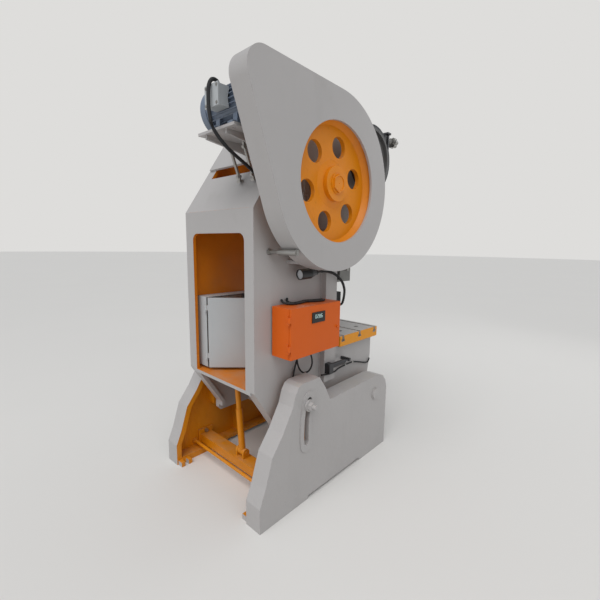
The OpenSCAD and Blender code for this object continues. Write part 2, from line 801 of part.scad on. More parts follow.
module connecting_rod() {
    color([0.45, 0.46, 0.48]) difference() {
        union() {
            intersection() {
                x_rod(end_r, -rod_half, rod_half, crank_y, pin_z);
                block(-rod_half, rod_half, crank_y - 200, crank_y + 200, pin_z - 200, pin_z - gap);
            }
            block(-rod_half, rod_half, crank_y - end_r, crank_y + end_r, pin_z - 60, pin_z - gap);
            side(-55, 55) polygon([[crank_y - 78, pin_z - 80], [crank_y - 56, pin_z - 230],
                [crank_y - 56, 1700], [crank_y + 56, 1700], [crank_y + 56, pin_z - 230],
                [crank_y + 78, pin_z - 80]]);
        }
        x_rod(pin_r + run, -rod_half - 1, rod_half + 1, crank_y, pin_z);
        z_rod(screw_r + run, 1699, 1960, 0, crank_y);
        rod_bolt_holes();
        // clamp slit and its bolts
        block(-1.5, 1.5, crank_y - 80, crank_y, 1699, 1860);
        for (z = [1735, 1800]) x_rod(8 + run, -56, 56, crank_y - 44, z);
    }
}

module rod_cap() {
    color([0.45, 0.46, 0.48]) difference() {
        union() {
            intersection() {
                x_rod(end_r, -rod_half, rod_half, crank_y, pin_z);
                block(-rod_half, rod_half, crank_y - 200, crank_y + 200, pin_z + gap, pin_z + 200);
            }
            block(-rod_half, rod_half, crank_y - end_r, crank_y + end_r, pin_z + gap, pin_z + 44);
        }
        x_rod(pin_r + run, -rod_half - 1, rod_half + 1, crank_y, pin_z);
        rod_bolt_holes();
        for (y = [-88, 88]) z_rod(20, pin_z + 44, pin_z + 110, 0, crank_y + y);
    }
}

module rod_bolts() {
    color(steel) {
        for (y = [-88, 88]) {
            z_rod(10, pin_z - 68, pin_z + 62, 0, crank_y + y);
            z_hex(17, pin_z + 44 + gap, pin_z + 58, 0, crank_y + y);
        }
        for (z = [1735, 1800]) {
            x_rod(8, -68, 62, crank_y - 44, z);
            x_hex(13, 55 + gap, 65, crank_y - 44, z);
        }
    }
}

module ball_screw() {
    color(steel) union() {
        z_rod(screw_r, ball_z + 20, 1950, 0, crank_y);
        translate([0, crank_y, ball_z]) sphere(r = ball_r);
        z_hex(46, ball_z + 66, ball_z + 90, 0, crank_y);
    }
}

slide_top = slide_z + slide_h;
pocket_z = ball_z - ball_r - 44;
bar_z0 = slide_z + 90;
bar_lift = 30;

module slide() {
    color([0.50, 0.51, 0.53]) difference() {
        union() {
            block(-slide_x / 2, slide_x / 2, crank_y - slide_y / 2, crank_y + slide_y / 2,
                slide_z, slide_top);
            block(-slide_x / 2 - tongue, slide_x / 2 + tongue, crank_y - tongue_y, crank_y + tongue_y,
                slide_z + 20, slide_top);
        }
        block(-76, 76, crank_y - 116, crank_y + 116, pocket_z, slide_top + 1);
        // knockout slot and the passage down to the tool shank
        block(-250, 250, crank_y - 14, crank_y + 14, bar_z0, bar_z0 + bar_lift + 40);
        z_rod(10, slide_z + 69, bar_z0 + 1, 0, crank_y);
        z_rod(shank_r, slide_z - 1, slide_z + 70, 0, crank_y);
        // clamp block seat at the front
        block(-70, 70, crank_y - 200, crank_y - 105, slide_z - 1, slide_z + 80);
        for (x = [-48, 48]) y_rod(9 + run, crank_y - 110, crank_y - 60, x, slide_z + 40);
        y_rod(9 + run, crank_y - 110, crank_y - 20, 0, slide_z + 40);
    }
}

module ball_seat() {
    color(bronze) difference() {
        z_rod(58, pocket_z + gap, pocket_z + 30, 0, crank_y);
        translate([0, crank_y, pocket_z + 30 + 140]) sphere(r = 146);
    }
}

module shank_clamp() {
    color(steel) {
        difference() {
            block(-70 + gap, 70 - gap, crank_y - slide_y / 2 - 22, crank_y - 105 - gap,
                slide_z, slide_z + 80 - gap);
            for (x = [-48, 48]) y_rod(9 + run, crank_y - 200, crank_y - 100, x, slide_z + 40);
            y_rod(9 + run, crank_y - 200, crank_y - 100, 0, slide_z + 40);
        }
        for (x = [-48, 48]) {
            y_rod(9, crank_y - slide_y / 2 - 40, crank_y - 62, x, slide_z + 40);
            y_hex(16, crank_y - slide_y / 2 - 36, crank_y - slide_y / 2 - 22 - gap, x, slide_z + 40);
        }
        y_rod(9, crank_y - slide_y / 2 - 52, crank_y - 27, 0, slide_z + 40);
    }
}

module knockout_bar() {
    color(steel) block(-250, 250, crank_y - 13, crank_y + 13, bar_z0 + gap, bar_z0 + 38);
}

// Belt drive.

module belt_guard() {
    wheel = [shaft_y, shaft_z, guard_r];
    color(grey) union() {
        difference() {
            side(guard_x0, guard_x1) wrap(wheel, guard_end);
            side(guard_x0 + 3, guard_x1 + 1) wrap(wheel, guard_end, -3);
            x_rod(324, guard_x0 - 1, guard_x0 + 4, shaft_y, shaft_z);
        }
        difference() {
            x_rod(327, guard_x0, guard_x0 + 14, shaft_y, shaft_z);
            x_rod(324, guard_x0 - 1, guard_x0 + 15, shaft_y, shaft_z);
        }
        for (a = [133, 205, 292]) {
            p = [shaft_y + 473 * cos(a), shaft_z + 473 * sin(a)];
            x_rod(12, guard_x0 + 90, -body_half - gap, p[0], p[1]);
            x_rod(16, -body_half - 9, -body_half - gap, p[0], p[1]);
        }
    }
}

stud_a = -48.8;
module guard_stud() {
    y = shaft_y + (guard_r + 18) * cos(stud_a);
    z = shaft_z + (guard_r + 18) * sin(stud_a);
    x_rod(10, guard_x0 + 4, -body_half - gap, y, z);
    x_rod(17, guard_x0 + 9, guard_x1, y, z);
    x_hex(18, -body_half - 16, -body_half - gap, y, z);
    x_hex(17, guard_x1 + 2, guard_x1 + 16, y, z);
}

module v_belts() {
    seat = groove_d - gap;
    color(black) for (x = groove_x)
        side(wheel_x0 + x - 6.5, wheel_x0 + x + 6.5) difference() {
            wrap([shaft_y, shaft_z, wheel_r - 2], [motor_y, motor_z, pulley_r - 2]);
            wrap([shaft_y, shaft_z, wheel_r - seat], [motor_y, motor_z, pulley_r - seat]);
        }
}

// Motor.

plate_z = motor_z - motor_r - 1;
fin_r = 110;
motor_x0 = -400;
motor_x1 = -145;

module motor_plate() {
    color(grey) difference() {
        union() {
            block(motor_x0 + 6, -92, 440, 704, plate_z - 14, plate_z - gap);
            side(-320, 320) polygon([on_slope(70, gap), on_slope(250, gap), on_slope(250, 14),
                on_slope(70, 14)]);
            // gusset arms from the foot on the slope to the plate
            for (x = [-318, -150]) side(x, x + 14)
                polygon([on_slope(76, 6), on_slope(190, 6), [335, plate_z - 6], [690, plate_z - 6],
                    [690, plate_z - 34], [460, plate_z - 62]]);
        }
        for (x = [-350, -210], y = [-95, 95]) z_rod(7, plate_z - 30, plate_z + 1, x, motor_y + y);
    }
}

// Tension screws from the rear sheet to the motor plate.
rod_foot = [449, 1889];
rod_head = [528, plate_z - 16];
module tension_rods() {
    lean = atan2(rod_head[0] - rod_foot[0], rod_head[1] - rod_foot[1]);
    reach = norm(rod_head - rod_foot);
    for (x = [-232, -112]) translate([x, rod_foot[0], rod_foot[1]]) rotate([-lean, 0, 0]) {
        translate([0, 0, 12]) cylinder(r = 9, h = reach - 14);
        translate([0, 0, 30]) cylinder(r = 16, h = 14, $fn = 6);
        translate([0, 0, reach - 40]) cylinder(r = 16, h = 14, $fn = 6);
        translate([-14, -14, 6]) cube([28, 28, 12]);
    }
}

module studs() {
    color(steel) {
        guard_stud();
        tension_rods();
    }
}

module motor_body() {
    color(blue) difference() {
        union() {
            x_rod(98, motor_x0 + 14, motor_x1 - 12, motor_y, motor_z);
            for (x = [motor_x0, motor_x1 - 14]) x_rod(motor_r - 4, x, x + 16, motor_y, motor_z);
            x_rod(46, motor_x0 - 12, motor_x0 + 1, motor_y, motor_z);
            for (a = [0:12:348]) if (abs(a - 270) > 30) translate([0, motor_y, motor_z])
                rotate([a, 0, 0]) translate([motor_x0 + 14, 90, -2])
                    cube([motor_x1 - motor_x0 - 26, fin_r - 90, 4]);
            for (x = [-370, -230]) {
                block(x, x + 40, motor_y - 118, motor_y + 118, plate_z, plate_z + 14);
                block(x + 4, x + 36, motor_y - 88, motor_y + 88, plate_z + 13, motor_z - 60);
            }
        }
        x_rod(14 + run, motor_x0 - 13, motor_x1 + 3, motor_y, motor_z);
        for (x = [-350, -210], y = [-95, 95]) z_rod(7, plate_z - 30, plate_z + 15, x, motor_y + y);
    }
}

module fan_cover() {
    color(blue) difference() {
        union() {
            x_rod(motor_r, motor_x1 + 2 + gap, motor_x1 + 44, motor_y, motor_z);
            translate([motor_x1 + 44, motor_y, motor_z]) rotate([0, 90, 0])
                cylinder(r1 = motor_r, r2 = motor_r - 16, h = 10);
        }
        x_rod(motor_r - 4, motor_x1, motor_x1 + 44, motor_y, motor_z);
        x_rod(motor_r - 24, motor_x1 + 40, motor_x1 + 51, motor_y, motor_z);
        for (r = [30, 58, 86], a = [0:30:330])
            x_rod(r > 60 ? 9 : 6, motor_x1 + 40, motor_x1 + 60,
                motor_y + r * cos(a), motor_z + r * sin(a));
    }
}

module terminal_box() {
    color([0.62, 0.63, 0.62]) difference() {
        union() {
            block(-326, -226, motor_y + 104, motor_y + 158, motor_z - 40, motor_z + 52);
            block(-330, -222, motor_y + 158, motor_y + 168, motor_z - 44, motor_z + 56);
        }
        block(-320, -232, motor_y + 110, motor_y + 152, motor_z - 34, motor_z + 46);
        x_rod(fin_r + gap, -340, -210, motor_y, motor_z);
    }
}

module motor_shaft() {
    color(steel) union() {
        x_rod(14, wheel_x0 + 2, motor_x1 + 20, motor_y, motor_z);
        // cooling fan inside its cover
        x_rod(30, motor_x1 + 12, motor_x1 + 36, motor_y, motor_z);
        for (a = [0:60:300]) translate([motor_x1 + 14, motor_y, motor_z]) rotate([a, 0, 0])
            translate([0, 26, -2]) cube([20, 70, 4]);
    }
}

module motor_pulley() {
    color([0.30, 0.31, 0.33]) translate([wheel_x0, motor_y, motor_z]) rotate([0, 90, 0])
        rotate_extrude() difference() {
            polygon([[14 + run, 0], [pulley_r, 0], [pulley_r, wheel_w], [14 + run, wheel_w]]);
            for (x = groove_x) translate([pulley_r, x]) groove();
        }
}

// Electrical boxes.

// Routes of the two cables that hang below the control box.
loop = [[-372, 120, 906], [-372, 116, 877.5], [-372, 107, 850], [-372, 98.5, 822.5], [-372, 98.5, 794],
    [-372, 112, 768.5], [-372, 137, 754.5], [-372, 174.5, 757.5], [-372, 199, 772.5], [-372, 217.5, 794.5],
    [-372, 230, 820.5], [-372, 237.5, 848.5], [-372, 241, 877], [-372, 242, 906]];
drop = [[-354, 214, 906], [-354, 215, 880], [-354, 221, 850], [-354, 232, 818], [-354, 244, 785],
    [-354, 252, 752], [-351, 256, 730], [-341, 258, 710]];

box_x = [-480, -347];
box_y = [-16, 422];
box_z = [919, 1206];
hinge_x = box_x[0] - 12;
hinge_y = box_y[1] + 9;
sheet = 3;
window_y = [140, 247];
window_z = [1108, 1162];

module shell(x, y, z, open_x0) {
    difference() {
        block(x[0], x[1], y[0], y[1], z[0], z[1]);
        block(open_x0, x[1] - sheet, y[0] + sheet, y[1] - sheet, z[0] + sheet, z[1] - sheet);
    }
}

module control_box() {
    color(red) union() {
        shell(box_x, box_y, box_z, box_x[0] - 1);
        for (y = [40, 370], z = [960, 1160]) x_rod(14, box_x[1] - 1, -body_half - gap, y, z);
        for (g = [loop[0], loop[len(loop) - 1], drop[0]])
            z_rod(10, box_z[0] - 12, box_z[0] + 1, g[0], g[1]);
        for (z = [970, 1130]) {
            block(box_x[0] + 2, box_x[0] + 22, box_y[1] - 1, box_y[1] + 4, z - 14, z + 40);
            block(hinge_x, box_x[0] + 4, box_y[1] + 1, hinge_y + 6, z - 14, z - 3);
            z_rod(4, z - 4, z + 30, hinge_x, hinge_y);
        }
    }
}

module control_gear() {
    union() {
        block(box_x[1] - 12, box_x[1] - sheet - gap, 20, 390, 945, 1180);
        for (y = [60, 150, 240]) block(box_x[1] - 70, box_x[1] - 11, y, y + 70, 1080, 1160);
        for (y = [60, 120, 180, 240, 300]) block(box_x[1] - 62, box_x[1] - 11, y, y + 44, 970, 1040);
    }
}

module control_door() {
    x0 = box_x[0] - 16;
    color(red) union() {
        difference() {
            block(x0, box_x[0] - 1, box_y[0], box_y[1] - 2, box_z[0], box_z[1]);
            block(x0 + sheet, box_x[0], box_y[0] + sheet, box_y[1] - 2 - sheet,
                box_z[0] + sheet, box_z[1] - sheet);
            block(x0 - 1, x0 + 4, window_y[0], window_y[1], window_z[0], window_z[1]);
        }
        // hinge barrels
        for (z = [970, 1130]) difference() {
            union() {
                z_rod(8, z, z + 28, hinge_x, hinge_y);
                block(hinge_x - 4, hinge_x + 4, box_y[1] - 4, hinge_y, z, z + 28);
            }
            z_rod(4 + run, z - 1, z + 29, hinge_x, hinge_y);
        }
        // lock by the free edge
        x_rod(9, x0 - 9, x0 + 8, 12, 1052);
        block(x0 + 4, x0 + 10, 4, 30, 1044, 1060);
    }
}

module display() {
    x0 = box_x[0] - 16;
    color(black) union() {
        block(x0 - 2, x0 + 24, window_y[0] + gap, window_y[1] - gap, window_z[0] + gap, window_z[1] - gap);
        block(x0 - 4, x0 - gap, window_y[0] - 4, window_y[1] + 4, window_z[0] - 4, window_z[1] + 4);
    }
}

cab_x = [198, 300];
cab_y = [120, 500];
cab_z = [734, 1204];
cab_hinge = [188, 508];
cab_open = 45;

module cabinet() {
    color([0.66, 0.68, 0.68]) union() {
        shell(cab_x, cab_y, cab_z, cab_x[0] - 1);
        for (y = [150, 440]) block(cab_x[0] + 10, cab_x[1] - 10, y, y + 30, floor_z + gap, cab_z[0] + 1);
        for (z = [800, 1120]) {
            block(cab_hinge[0] + 2, cab_x[0] + 14, cab_y[1] - 1, cab_hinge[1] + 4, z - 12, z - 2);
            block(cab_hinge[0] - 2, cab_hinge[0] + 4, cab_hinge[1] - 4, cab_hinge[1] + 4, z - 12, z - 2);
            z_rod(4, z - 3, z + 34, cab_hinge[0], cab_hinge[1]);
        }
    }
}

module cabinet_gear() {
    union() {
        block(cab_x[1] - 12, cab_x[1] - sheet - gap, 145, 475, 760, 1180);
        for (z = [800, 920, 1040]) for (y = [170, 260, 350])
            block(cab_x[1] - 70, cab_x[1] - 11, y, y + 70, z, z + 80);
    }
}

module switchgear() {
    color([0.80, 0.80, 0.78]) {
        control_gear();
        cabinet_gear();
    }
}

// The door is drawn closed and stands ajar.
module cabinet_door() {
    color([0.68, 0.70, 0.70]) translate([cab_hinge[0], cab_hinge[1], 0]) rotate([0, 0, -cab_open])
        translate([-cab_hinge[0], -cab_hinge[1], 0]) union() {
            difference() {
                block(182, 196, cab_y[0], cab_y[1] - 4, cab_z[0] + 2, cab_z[1] - 2);
                block(185, 197, cab_y[0] + 3, cab_y[1] - 7, cab_z[0] + 5, cab_z[1] - 5);
            }
            for (z = [800, 1120]) difference() {
                union() {
                    z_rod(8, z, z + 32, cab_hinge[0], cab_hinge[1]);
                    block(183, 190, cab_y[1] - 6, cab_hinge[1], z, z + 32);
                }
                z_rod(4 + run, z - 1, z + 33, cab_hinge[0], cab_hinge[1]);
            }
        }
}

// Lamp.

// Round tube through hand-placed points, closed at both ends.
function unit(v) = v / norm(v);
function tube_side(d) = unit(cross(d, abs(d[2]) > 0.9 ? [0, 1, 0] : [0, 0, 1]));
function smooth(p, n) = [for (i = [0:len(p) - 2], k = [0:n - 1])
    let (a = p[max(i - 1, 0)], b = p[i], c = p[i + 1], d = p[min(i + 2, len(p) - 1)], t = k / n)
    0.5 * (2 * b + (c - a) * t + (2 * a - 5 * b + 4 * c - d) * t * t
        + (3 * b - a - 3 * c + d) * t * t * t), p[len(p) - 1]];
module tube(path, r, sides = 8) {
    n = len(path);
    dirs = [for (i = [0:n - 1]) unit(path[min(i + 1, n - 1)] - path[max(i - 1, 0)])];
    u = [for (i = [0:n - 1]) tube_side(dirs[i])];
    v = [for (i = [0:n - 1]) cross(dirs[i], u[i])];
    pts = [for (i = [0:n - 1], k = [0:sides - 1])
        path[i] + r * (cos(k * 360 / sides) * u[i] + sin(k * 360 / sides) * v[i])];
    faces = concat(
        [[for (k = [0:sides - 1]) k]],
        [for (i = [0:n - 2], k = [0:sides - 1])
            [i * sides + k, (i + 1) * sides + k,
                (i + 1) * sides + (k + 1) % sides, i * sides + (k + 1) % sides]],
        [[for (k = [sides - 1:-1:0]) (n - 1) * sides + k]]);
    polyhedron(points = pts, faces = faces, convexity = 6);
}

neck = [[-364, -156, 1172], [-372, -168, 1152], [-388, -182, 1158], [-398, -188, 1205],
    [-402, -184, 1260], [-408, -140, 1318], [-412, -60, 1366], [-416, 40, 1389], [-418, 122, 1385]];
head_at = neck[len(neck) - 1];
head_dir = [0.10, 0.99, -0.05];
head_ball = 9;
head_r = 31;
head_l = 140;

module at_head() {
    translate(head_at)
        rotate([0, acos(head_dir[2] / norm(head_dir)), atan2(head_dir[1], head_dir[0])]) children();
}

module lamp_arm() {
    color(black) union() {
        tube(smooth(neck, 4), 7);
        block(-body_half - 40, -body_half + 4, throat_y - 50, throat_y - gap, 1164, 1238);
        translate(head_at) sphere(r = head_ball, $fn = 32);
    }
}

module lamp_head() {
    color(black) at_head() difference() {
        union() {
            translate([0, 0, 1]) cylinder(r = 14, h = 16);
            translate([0, 0, 16]) cylinder(r1 = 16, r2 = head_r, h = 44);
            translate([0, 0, 60 - 0.01]) cylinder(r = head_r, h = head_l - 60);
        }
        sphere(r = head_ball + run);
        translate([0, 0, 30]) cylinder(r1 = 10, r2 = head_r - 4, h = 34);
        translate([0, 0, 63]) cylinder(r = head_r - 4, h = head_l);
    }
}

module lamp_lens() {
    color([0.85, 0.88, 0.90]) at_head() translate([0, 0, head_l - 14])
        cylinder(r = head_r - 4 - gap, h = 6);
}

// Spring cylinder of the clutch trip, on the left strip of the throat.
cyl_x = -402;
cyl_z = 748;
module trip_cylinder() {
    color([0.45, 0.46, 0.47]) union() {
        y_rod(17, -205, -24, cyl_x, cyl_z);
        y_rod(12, -222, -204, cyl_x, cyl_z);
        y_rod(6, -262, -221, cyl_x, cyl_z);
        block(-422, -body_half - 43 - gap, -64, -22, 704, 772);
        block(-412, -body_half - gap, -276, -256, cyl_z - 10, cyl_z + 10);
    }
}

// Cables and hoses that the body carries along their whole route.
top_cables = [
    [[-343, 300, 1236], [-360, 314, 1222], [-388, 300, 1214], [-385, 232, 1214], [-374, 182, 1214],
        [-392, 140, 1214], [-410, 96, 1214], [-410, 60, 1214]],
    [[-343, 346, 1232], [-372, 348, 1218], [-408, 312, 1214], [-404, 236, 1214], [-394, 190, 1214],
        [-414, 148, 1214], [-432, 100, 1214], [-432, 64, 1214]]];
conduit = [[-276, 700, 2282], [-276, 712, 2302], [-276, 738, 2300], [-276, 756, 2270],
    [-276, 760, 2220], [-278, 758, 2150], [-284, 740, 2080], [-292, 670, 2010], [-296, 560, 1950],
    [-296, 480, 1905], [-296, 445, 1893]];
hose = [[-390, 22, 704], [-390, -10, 698], [-394, -40, 696], [-394, -80, 696], [-390, -120, 692],
    [-374, -162, 688], [-354, -212, 683], [-348, -300, 685], [-348, -390, 687], [-348, -500, 660],
    [-348, -575, 638], [-348, -612, 640], [-348, -628, 666]];

module wiring() {
    color(black) {
        for (route = top_cables) tube(smooth(route, 3), 7);
        tube(smooth(conduit, 2), 9);
        tube(smooth(hose, 2), 5.5);
    }
}

module loop_cable() { color(black) tube(smooth(loop, 2), 5.5); }
module drop_cable() { color(black) tube(smooth(drop, 2), 5.5); }

// Tilting strut.

strut_foot_z = 150;
strut_top_y = 405;
strut_top_z = 655;
strut_lean = atan2(strut_top_y - beam_y, strut_top_z - strut_foot_z);
strut_len = norm([strut_top_y - beam_y, strut_top_z - strut_foot_z]);

module strut_tube() {
    color(yellow) translate([8, beam_y, strut_foot_z]) rotate([-strut_lean, 0, 0]) union() {
        difference() {
            union() {
                translate([0, 0, 18]) cylinder(r = 22.5, h = 297);
                translate([-25, 0, 0]) rotate([0, 90, 0]) cylinder(r = 24, h = 50);
            }
            translate([0, 0, 26]) cylinder(r = 19.5, h = 300);
        }
        translate([-46, 0, 0]) rotate([0, 90, 0]) cylinder(r = 10, h = 92);
    }
}

module strut_screw() {
    color(yellow) translate([8, beam_y, strut_foot_z]) rotate([-strut_lean, 0, 0]) union() {
        translate([0, 0, 186]) cylinder(r = 18, h = strut_len - 186);
        translate([-25, 0, strut_len]) rotate([0, 90, 0]) cylinder(r = 23, h = 50);
        translate([-46, 0, strut_len]) rotate([0, 90, 0]) cylinder(r = 10, h = 92);
    }
}

leg_left();
leg_right();
tie_beam();
tie_beam_bolts();
tie_rods();
pivot_pins();
c_frame();
lock_bolts();
bolster();
frame_bolts();
gibs();
knockout_stops();
crank_caps();
crank_bushes();
shaft_housings();
shaft_bearings();
crankshaft();
brake_drum();
brake_band();
brake_bolt();
brake_bracket();
bull_gear();
clutch_hub();
drive_shaft();
flywheel();
wheel_nut();
pinion();
gear_cover();
connecting_rod();
rod_cap();
rod_bolts();
ball_screw();
slide();
ball_seat();
shank_clamp();
knockout_bar();
belt_guard();
v_belts();
motor_plate();
studs();
motor_body();
fan_cover();
terminal_box();
motor_shaft();
motor_pulley();
control_box();
control_door();
display();
cabinet();
cabinet_door();
switchgear();
lamp_arm();
lamp_head();
lamp_lens();
trip_cylinder();
wiring();
loop_cable();
drop_cable();
strut_tube();
strut_screw();
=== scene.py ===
"""Mechanical stamping press: finishes, small parts, light and camera."""
import math

import bmesh
import bpy
from mathutils import Matrix, Vector


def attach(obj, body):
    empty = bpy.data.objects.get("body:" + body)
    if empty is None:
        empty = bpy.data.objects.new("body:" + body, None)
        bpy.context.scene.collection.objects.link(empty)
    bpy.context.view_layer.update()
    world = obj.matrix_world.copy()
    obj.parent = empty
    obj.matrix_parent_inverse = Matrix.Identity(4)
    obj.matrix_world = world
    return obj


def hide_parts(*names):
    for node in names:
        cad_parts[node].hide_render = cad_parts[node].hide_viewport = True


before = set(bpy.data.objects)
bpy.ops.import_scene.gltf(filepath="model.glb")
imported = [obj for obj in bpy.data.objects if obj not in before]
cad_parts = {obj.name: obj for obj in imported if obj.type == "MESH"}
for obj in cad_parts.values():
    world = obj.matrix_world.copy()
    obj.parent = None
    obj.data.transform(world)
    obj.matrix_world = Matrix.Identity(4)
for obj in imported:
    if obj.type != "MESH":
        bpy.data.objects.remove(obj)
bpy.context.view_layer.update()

# Places in the row's frame, in metres
# The body: inner and outer face of the side plates, rear sheet, floor plate, throat, rear slope
PLATE_IN = 0.301
BODY_HALF = 0.337
REAR_Y = 0.546
FLOOR_Z = 0.716
THROAT_Y = -0.130
SLOPE_FOOT = Vector((0, 0.398, 1.958))
SLOPE_OUT = Vector((0, 0.8296, 0.5583))
# The legs: inner face of the web, middle of the sloped pocket, box of the core, top of the deck
WEB_IN = 0.474
POCKET_MIDDLE = Vector((0, 0.10, 0.28))
CORE_Y = (-0.600, 0.450)
CORE_Z = (0.041, 0.549)
DECK_Z = 0.77
# The drive: wheel shaft, ground belt face, end of the bare shaft, motor, fan cover, terminal lid
SHAFT = Vector((0, 0.107, 1.888))
BELT_FACE_R = 0.449
BARE_SHAFT_X = -0.46
MOTOR = Vector((0, 0.576, 2.222))
FAN_X = -0.1135
FAN_R = 0.1095
LID_Y = 0.7452
LID_X = (-0.319, -0.233)
LID_Z = (2.190, 2.266)
# The table plate: middle of its depth, half its width and depth less half a millimetre
TABLE_Y = -0.435
TABLE_HALF = (0.3745, 0.2395)
# Devices in the cabinet and the control box's door
DEVICE_X = 0.2295
DEVICE_Y = (0.170, 0.260, 0.350)
DEVICE_Z = (0.800, 0.920, 1.040)
BOX_FRONT = -0.496
DOOR_WINDOW = ((0.140, 0.247), (1.108, 1.162))


def srgb(red, green, blue, alpha=1.0):
    """A colour written as 0 to 255, made linear for the shader."""
    def linear(level):
        level /= 255
        return level / 12.92 if level <= 0.04045 else ((level + 0.055) / 1.055) ** 2.4
    return (linear(red), linear(green), linear(blue), alpha)


ENAMEL_GREY = srgb(172, 169, 168)
INSIDE_ORANGE = srgb(206, 117, 10)
LEG_ORANGE = srgb(208, 131, 12)
BAR_YELLOW = srgb(208, 130, 8)
WHEEL_YELLOW = srgb(222, 133, 4)
BOX_ORANGE = srgb(208, 91, 6)
MOTOR_BLUE = srgb(108, 120, 138)
CABINET_GREY = srgb(178, 182, 184)
BARE_STEEL = srgb(168, 166, 162)
DARK_STEEL = srgb(82, 82, 84)
CAST_IRON = srgb(110, 109, 108)
BRONZE = srgb(176, 132, 72)
SOFT_BLACK = srgb(22, 22, 24)
DUST = srgb(168, 160, 146)


# Camera, solved from the photograph's straight edges
def point_camera():
    camera = bpy.data.cameras.new("camera")
    camera.lens = 21.41
    camera.sensor_width = 36
    camera.clip_start = 0.05
    camera.clip_end = 60
    seat = bpy.data.objects.new("camera", camera)
    right = Vector((-0.73249, -0.68063, 0.01429))
    up = Vector((0.11575, -0.10383, 0.98784))
    back = Vector((-0.67087, 0.72523, 0.15483))
    place = Vector((-1.8004, 1.7640, 1.5519))
    seat.matrix_world = Matrix.Translation(place) @ Matrix((right, up, back)).transposed().to_4x4()
    bpy.context.scene.collection.objects.link(seat)
    bpy.context.scene.camera = seat


# Shader maths
class Wire:
    """A shader socket that takes part in ordinary sums."""

    def __init__(self, finish, socket):
        self.finish = finish
        self.socket = socket

    def maths(self, operation, *terms, clamp=False):
        made = self.finish.node("ShaderNodeMath", {"operation": operation, "use_clamp": clamp},
                                dict(enumerate(terms)))
        return Wire(self.finish, made.outputs[0])

    def __add__(self, other):
        return self.maths("ADD", self, other)

    __radd__ = __add__

    def __sub__(self, other):
        return self.maths("SUBTRACT", self, other)

    def __rsub__(self, other):
        return self.maths("SUBTRACT", other, self)

    def __mul__(self, other):
        return self.maths("MULTIPLY", self, other)

    __rmul__ = __mul__

    def __pow__(self, other):
        return self.maths("POWER", self, other)

    def __rpow__(self, other):
        return self.maths("POWER", other, self)

    def __gt__(self, other):
        return self.maths("GREATER_THAN", self, other)

    def __lt__(self, other):
        return self.maths("LESS_THAN", self, other)

    def __abs__(self):
        return self.maths("ABSOLUTE", self)

    def higher(self, other):
        return self.maths("MAXIMUM", self, other)

    def clamped(self):
        return self.maths("ADD", self, 0.0, clamp=True)

    def rise(self, low, high):
        """Climbs smoothly from 0 at low to 1 at high."""
        made = self.finish.node("ShaderNodeMapRange", {"interpolation_type": "SMOOTHSTEP"},
                                {0: self, 1: low, 2: high, 3: 0.0, 4: 1.0})
        return Wire(self.finish, made.outputs[0])


class Finish:
    """One material: its nodes, its place on the object and its shader."""

    def __init__(self, name):
        self.material = bpy.data.materials.new(name)
        self.material.use_nodes = True
        self.tree = self.material.node_tree
        self.tree.nodes.clear()
        self.place = self.node("ShaderNodeTexCoord").outputs["Object"]
        apart = self.node("ShaderNodeSeparateXYZ", {}, {0: self.place})
        self.x, self.y, self.z = (Wire(self, out) for out in apart.outputs)
        facing = self.node("ShaderNodeNewGeometry").outputs["Normal"]
        turned = self.node("ShaderNodeSeparateXYZ", {}, {0: facing})
        self.nx, self.ny, self.nz = (Wire(self, out) for out in turned.outputs)

    def node(self, kind, settings=None, values=None):
        made = self.tree.nodes.new(kind)
        for key, setting in (settings or {}).items():
            setattr(made, key, setting)
        for key, value in (values or {}).items():
            value = value.socket if isinstance(value, Wire) else value
            if isinstance(value, bpy.types.NodeSocket):
                self.tree.links.new(value, made.inputs[key])
            else:
                made.inputs[key].default_value = value
        return made

    def noise(self, scale, detail=3.0, roughness=0.55, stretch=(1, 1, 1)):
        """Cloudy noise about 0.5; stretch above 1 packs it closer along that axis."""
        spread = self.node("ShaderNodeMapping", {}, {"Vector": self.place, "Scale": stretch})
        made = self.node("ShaderNodeTexNoise", {}, {"Vector": spread.outputs[0], "Scale": scale,
                                                    "Detail": detail, "Roughness": roughness})
        return Wire(self, made.outputs[0])

    def specks(self, scale, randomness=1.0):
        """Distance to scattered points, for pits, chips and spatter."""
        made = self.node("ShaderNodeTexVoronoi", {}, {"Vector": self.place, "Scale": scale,
                                                      "Randomness": randomness})
        return Wire(self, made.outputs["Distance"])

    def edges(self, radius):
        """1 on convex edges narrower than radius, 0 on flat faces."""
        rounded = self.node("ShaderNodeBevel", {"samples": 4}, {"Radius": radius})
        flat = self.node("ShaderNodeNewGeometry").outputs["Normal"]
        dot = self.node("ShaderNodeVectorMath", {"operation": "DOT_PRODUCT"},
                        {0: rounded.outputs[0], 1: flat})
        return (1 - Wire(self, dot.outputs["Value"])).rise(0.02, 0.16)

    def mix(self, factor, first, second):
        """A colour between two, each a colour or the output of an earlier mix."""
        made = self.node("ShaderNodeMix", {"data_type": "RGBA"}, {0: factor, 6: first, 7: second})
        return made.outputs[2]

    def tint(self, colour, factor, amount):
        """The colour lifted and lowered by amount as factor runs from 0 to 1."""
        darker = tuple(level * (1 - amount) for level in colour[:3]) + (1.0,)
        lighter = tuple(min(level * (1 + amount), 1.0) for level in colour[:3]) + (1.0,)
        return self.mix(factor, darker, lighter)

    def bump(self, height, depth, under=None):
        values = {"Height": height, "Distance": depth, "Strength": 1.0}
        if under is not None:
            values["Normal"] = under
        return self.node("ShaderNodeBump", {}, values).outputs[0]

    def shade(self, colour, roughness, normal=None, metal=0.0, **sockets):
        values = {"Base Color": colour, "Roughness": roughness, "Metallic": metal}
        values.update({key.replace("_", " "): value for key, value in sockets.items()})
        if normal is not None:
            values["Normal"] = normal
        shader = self.node("ShaderNodeBsdfPrincipled", {}, values)
        self.node("ShaderNodeOutputMaterial", {}, {"Surface": shader.outputs[0]})
        return self.material


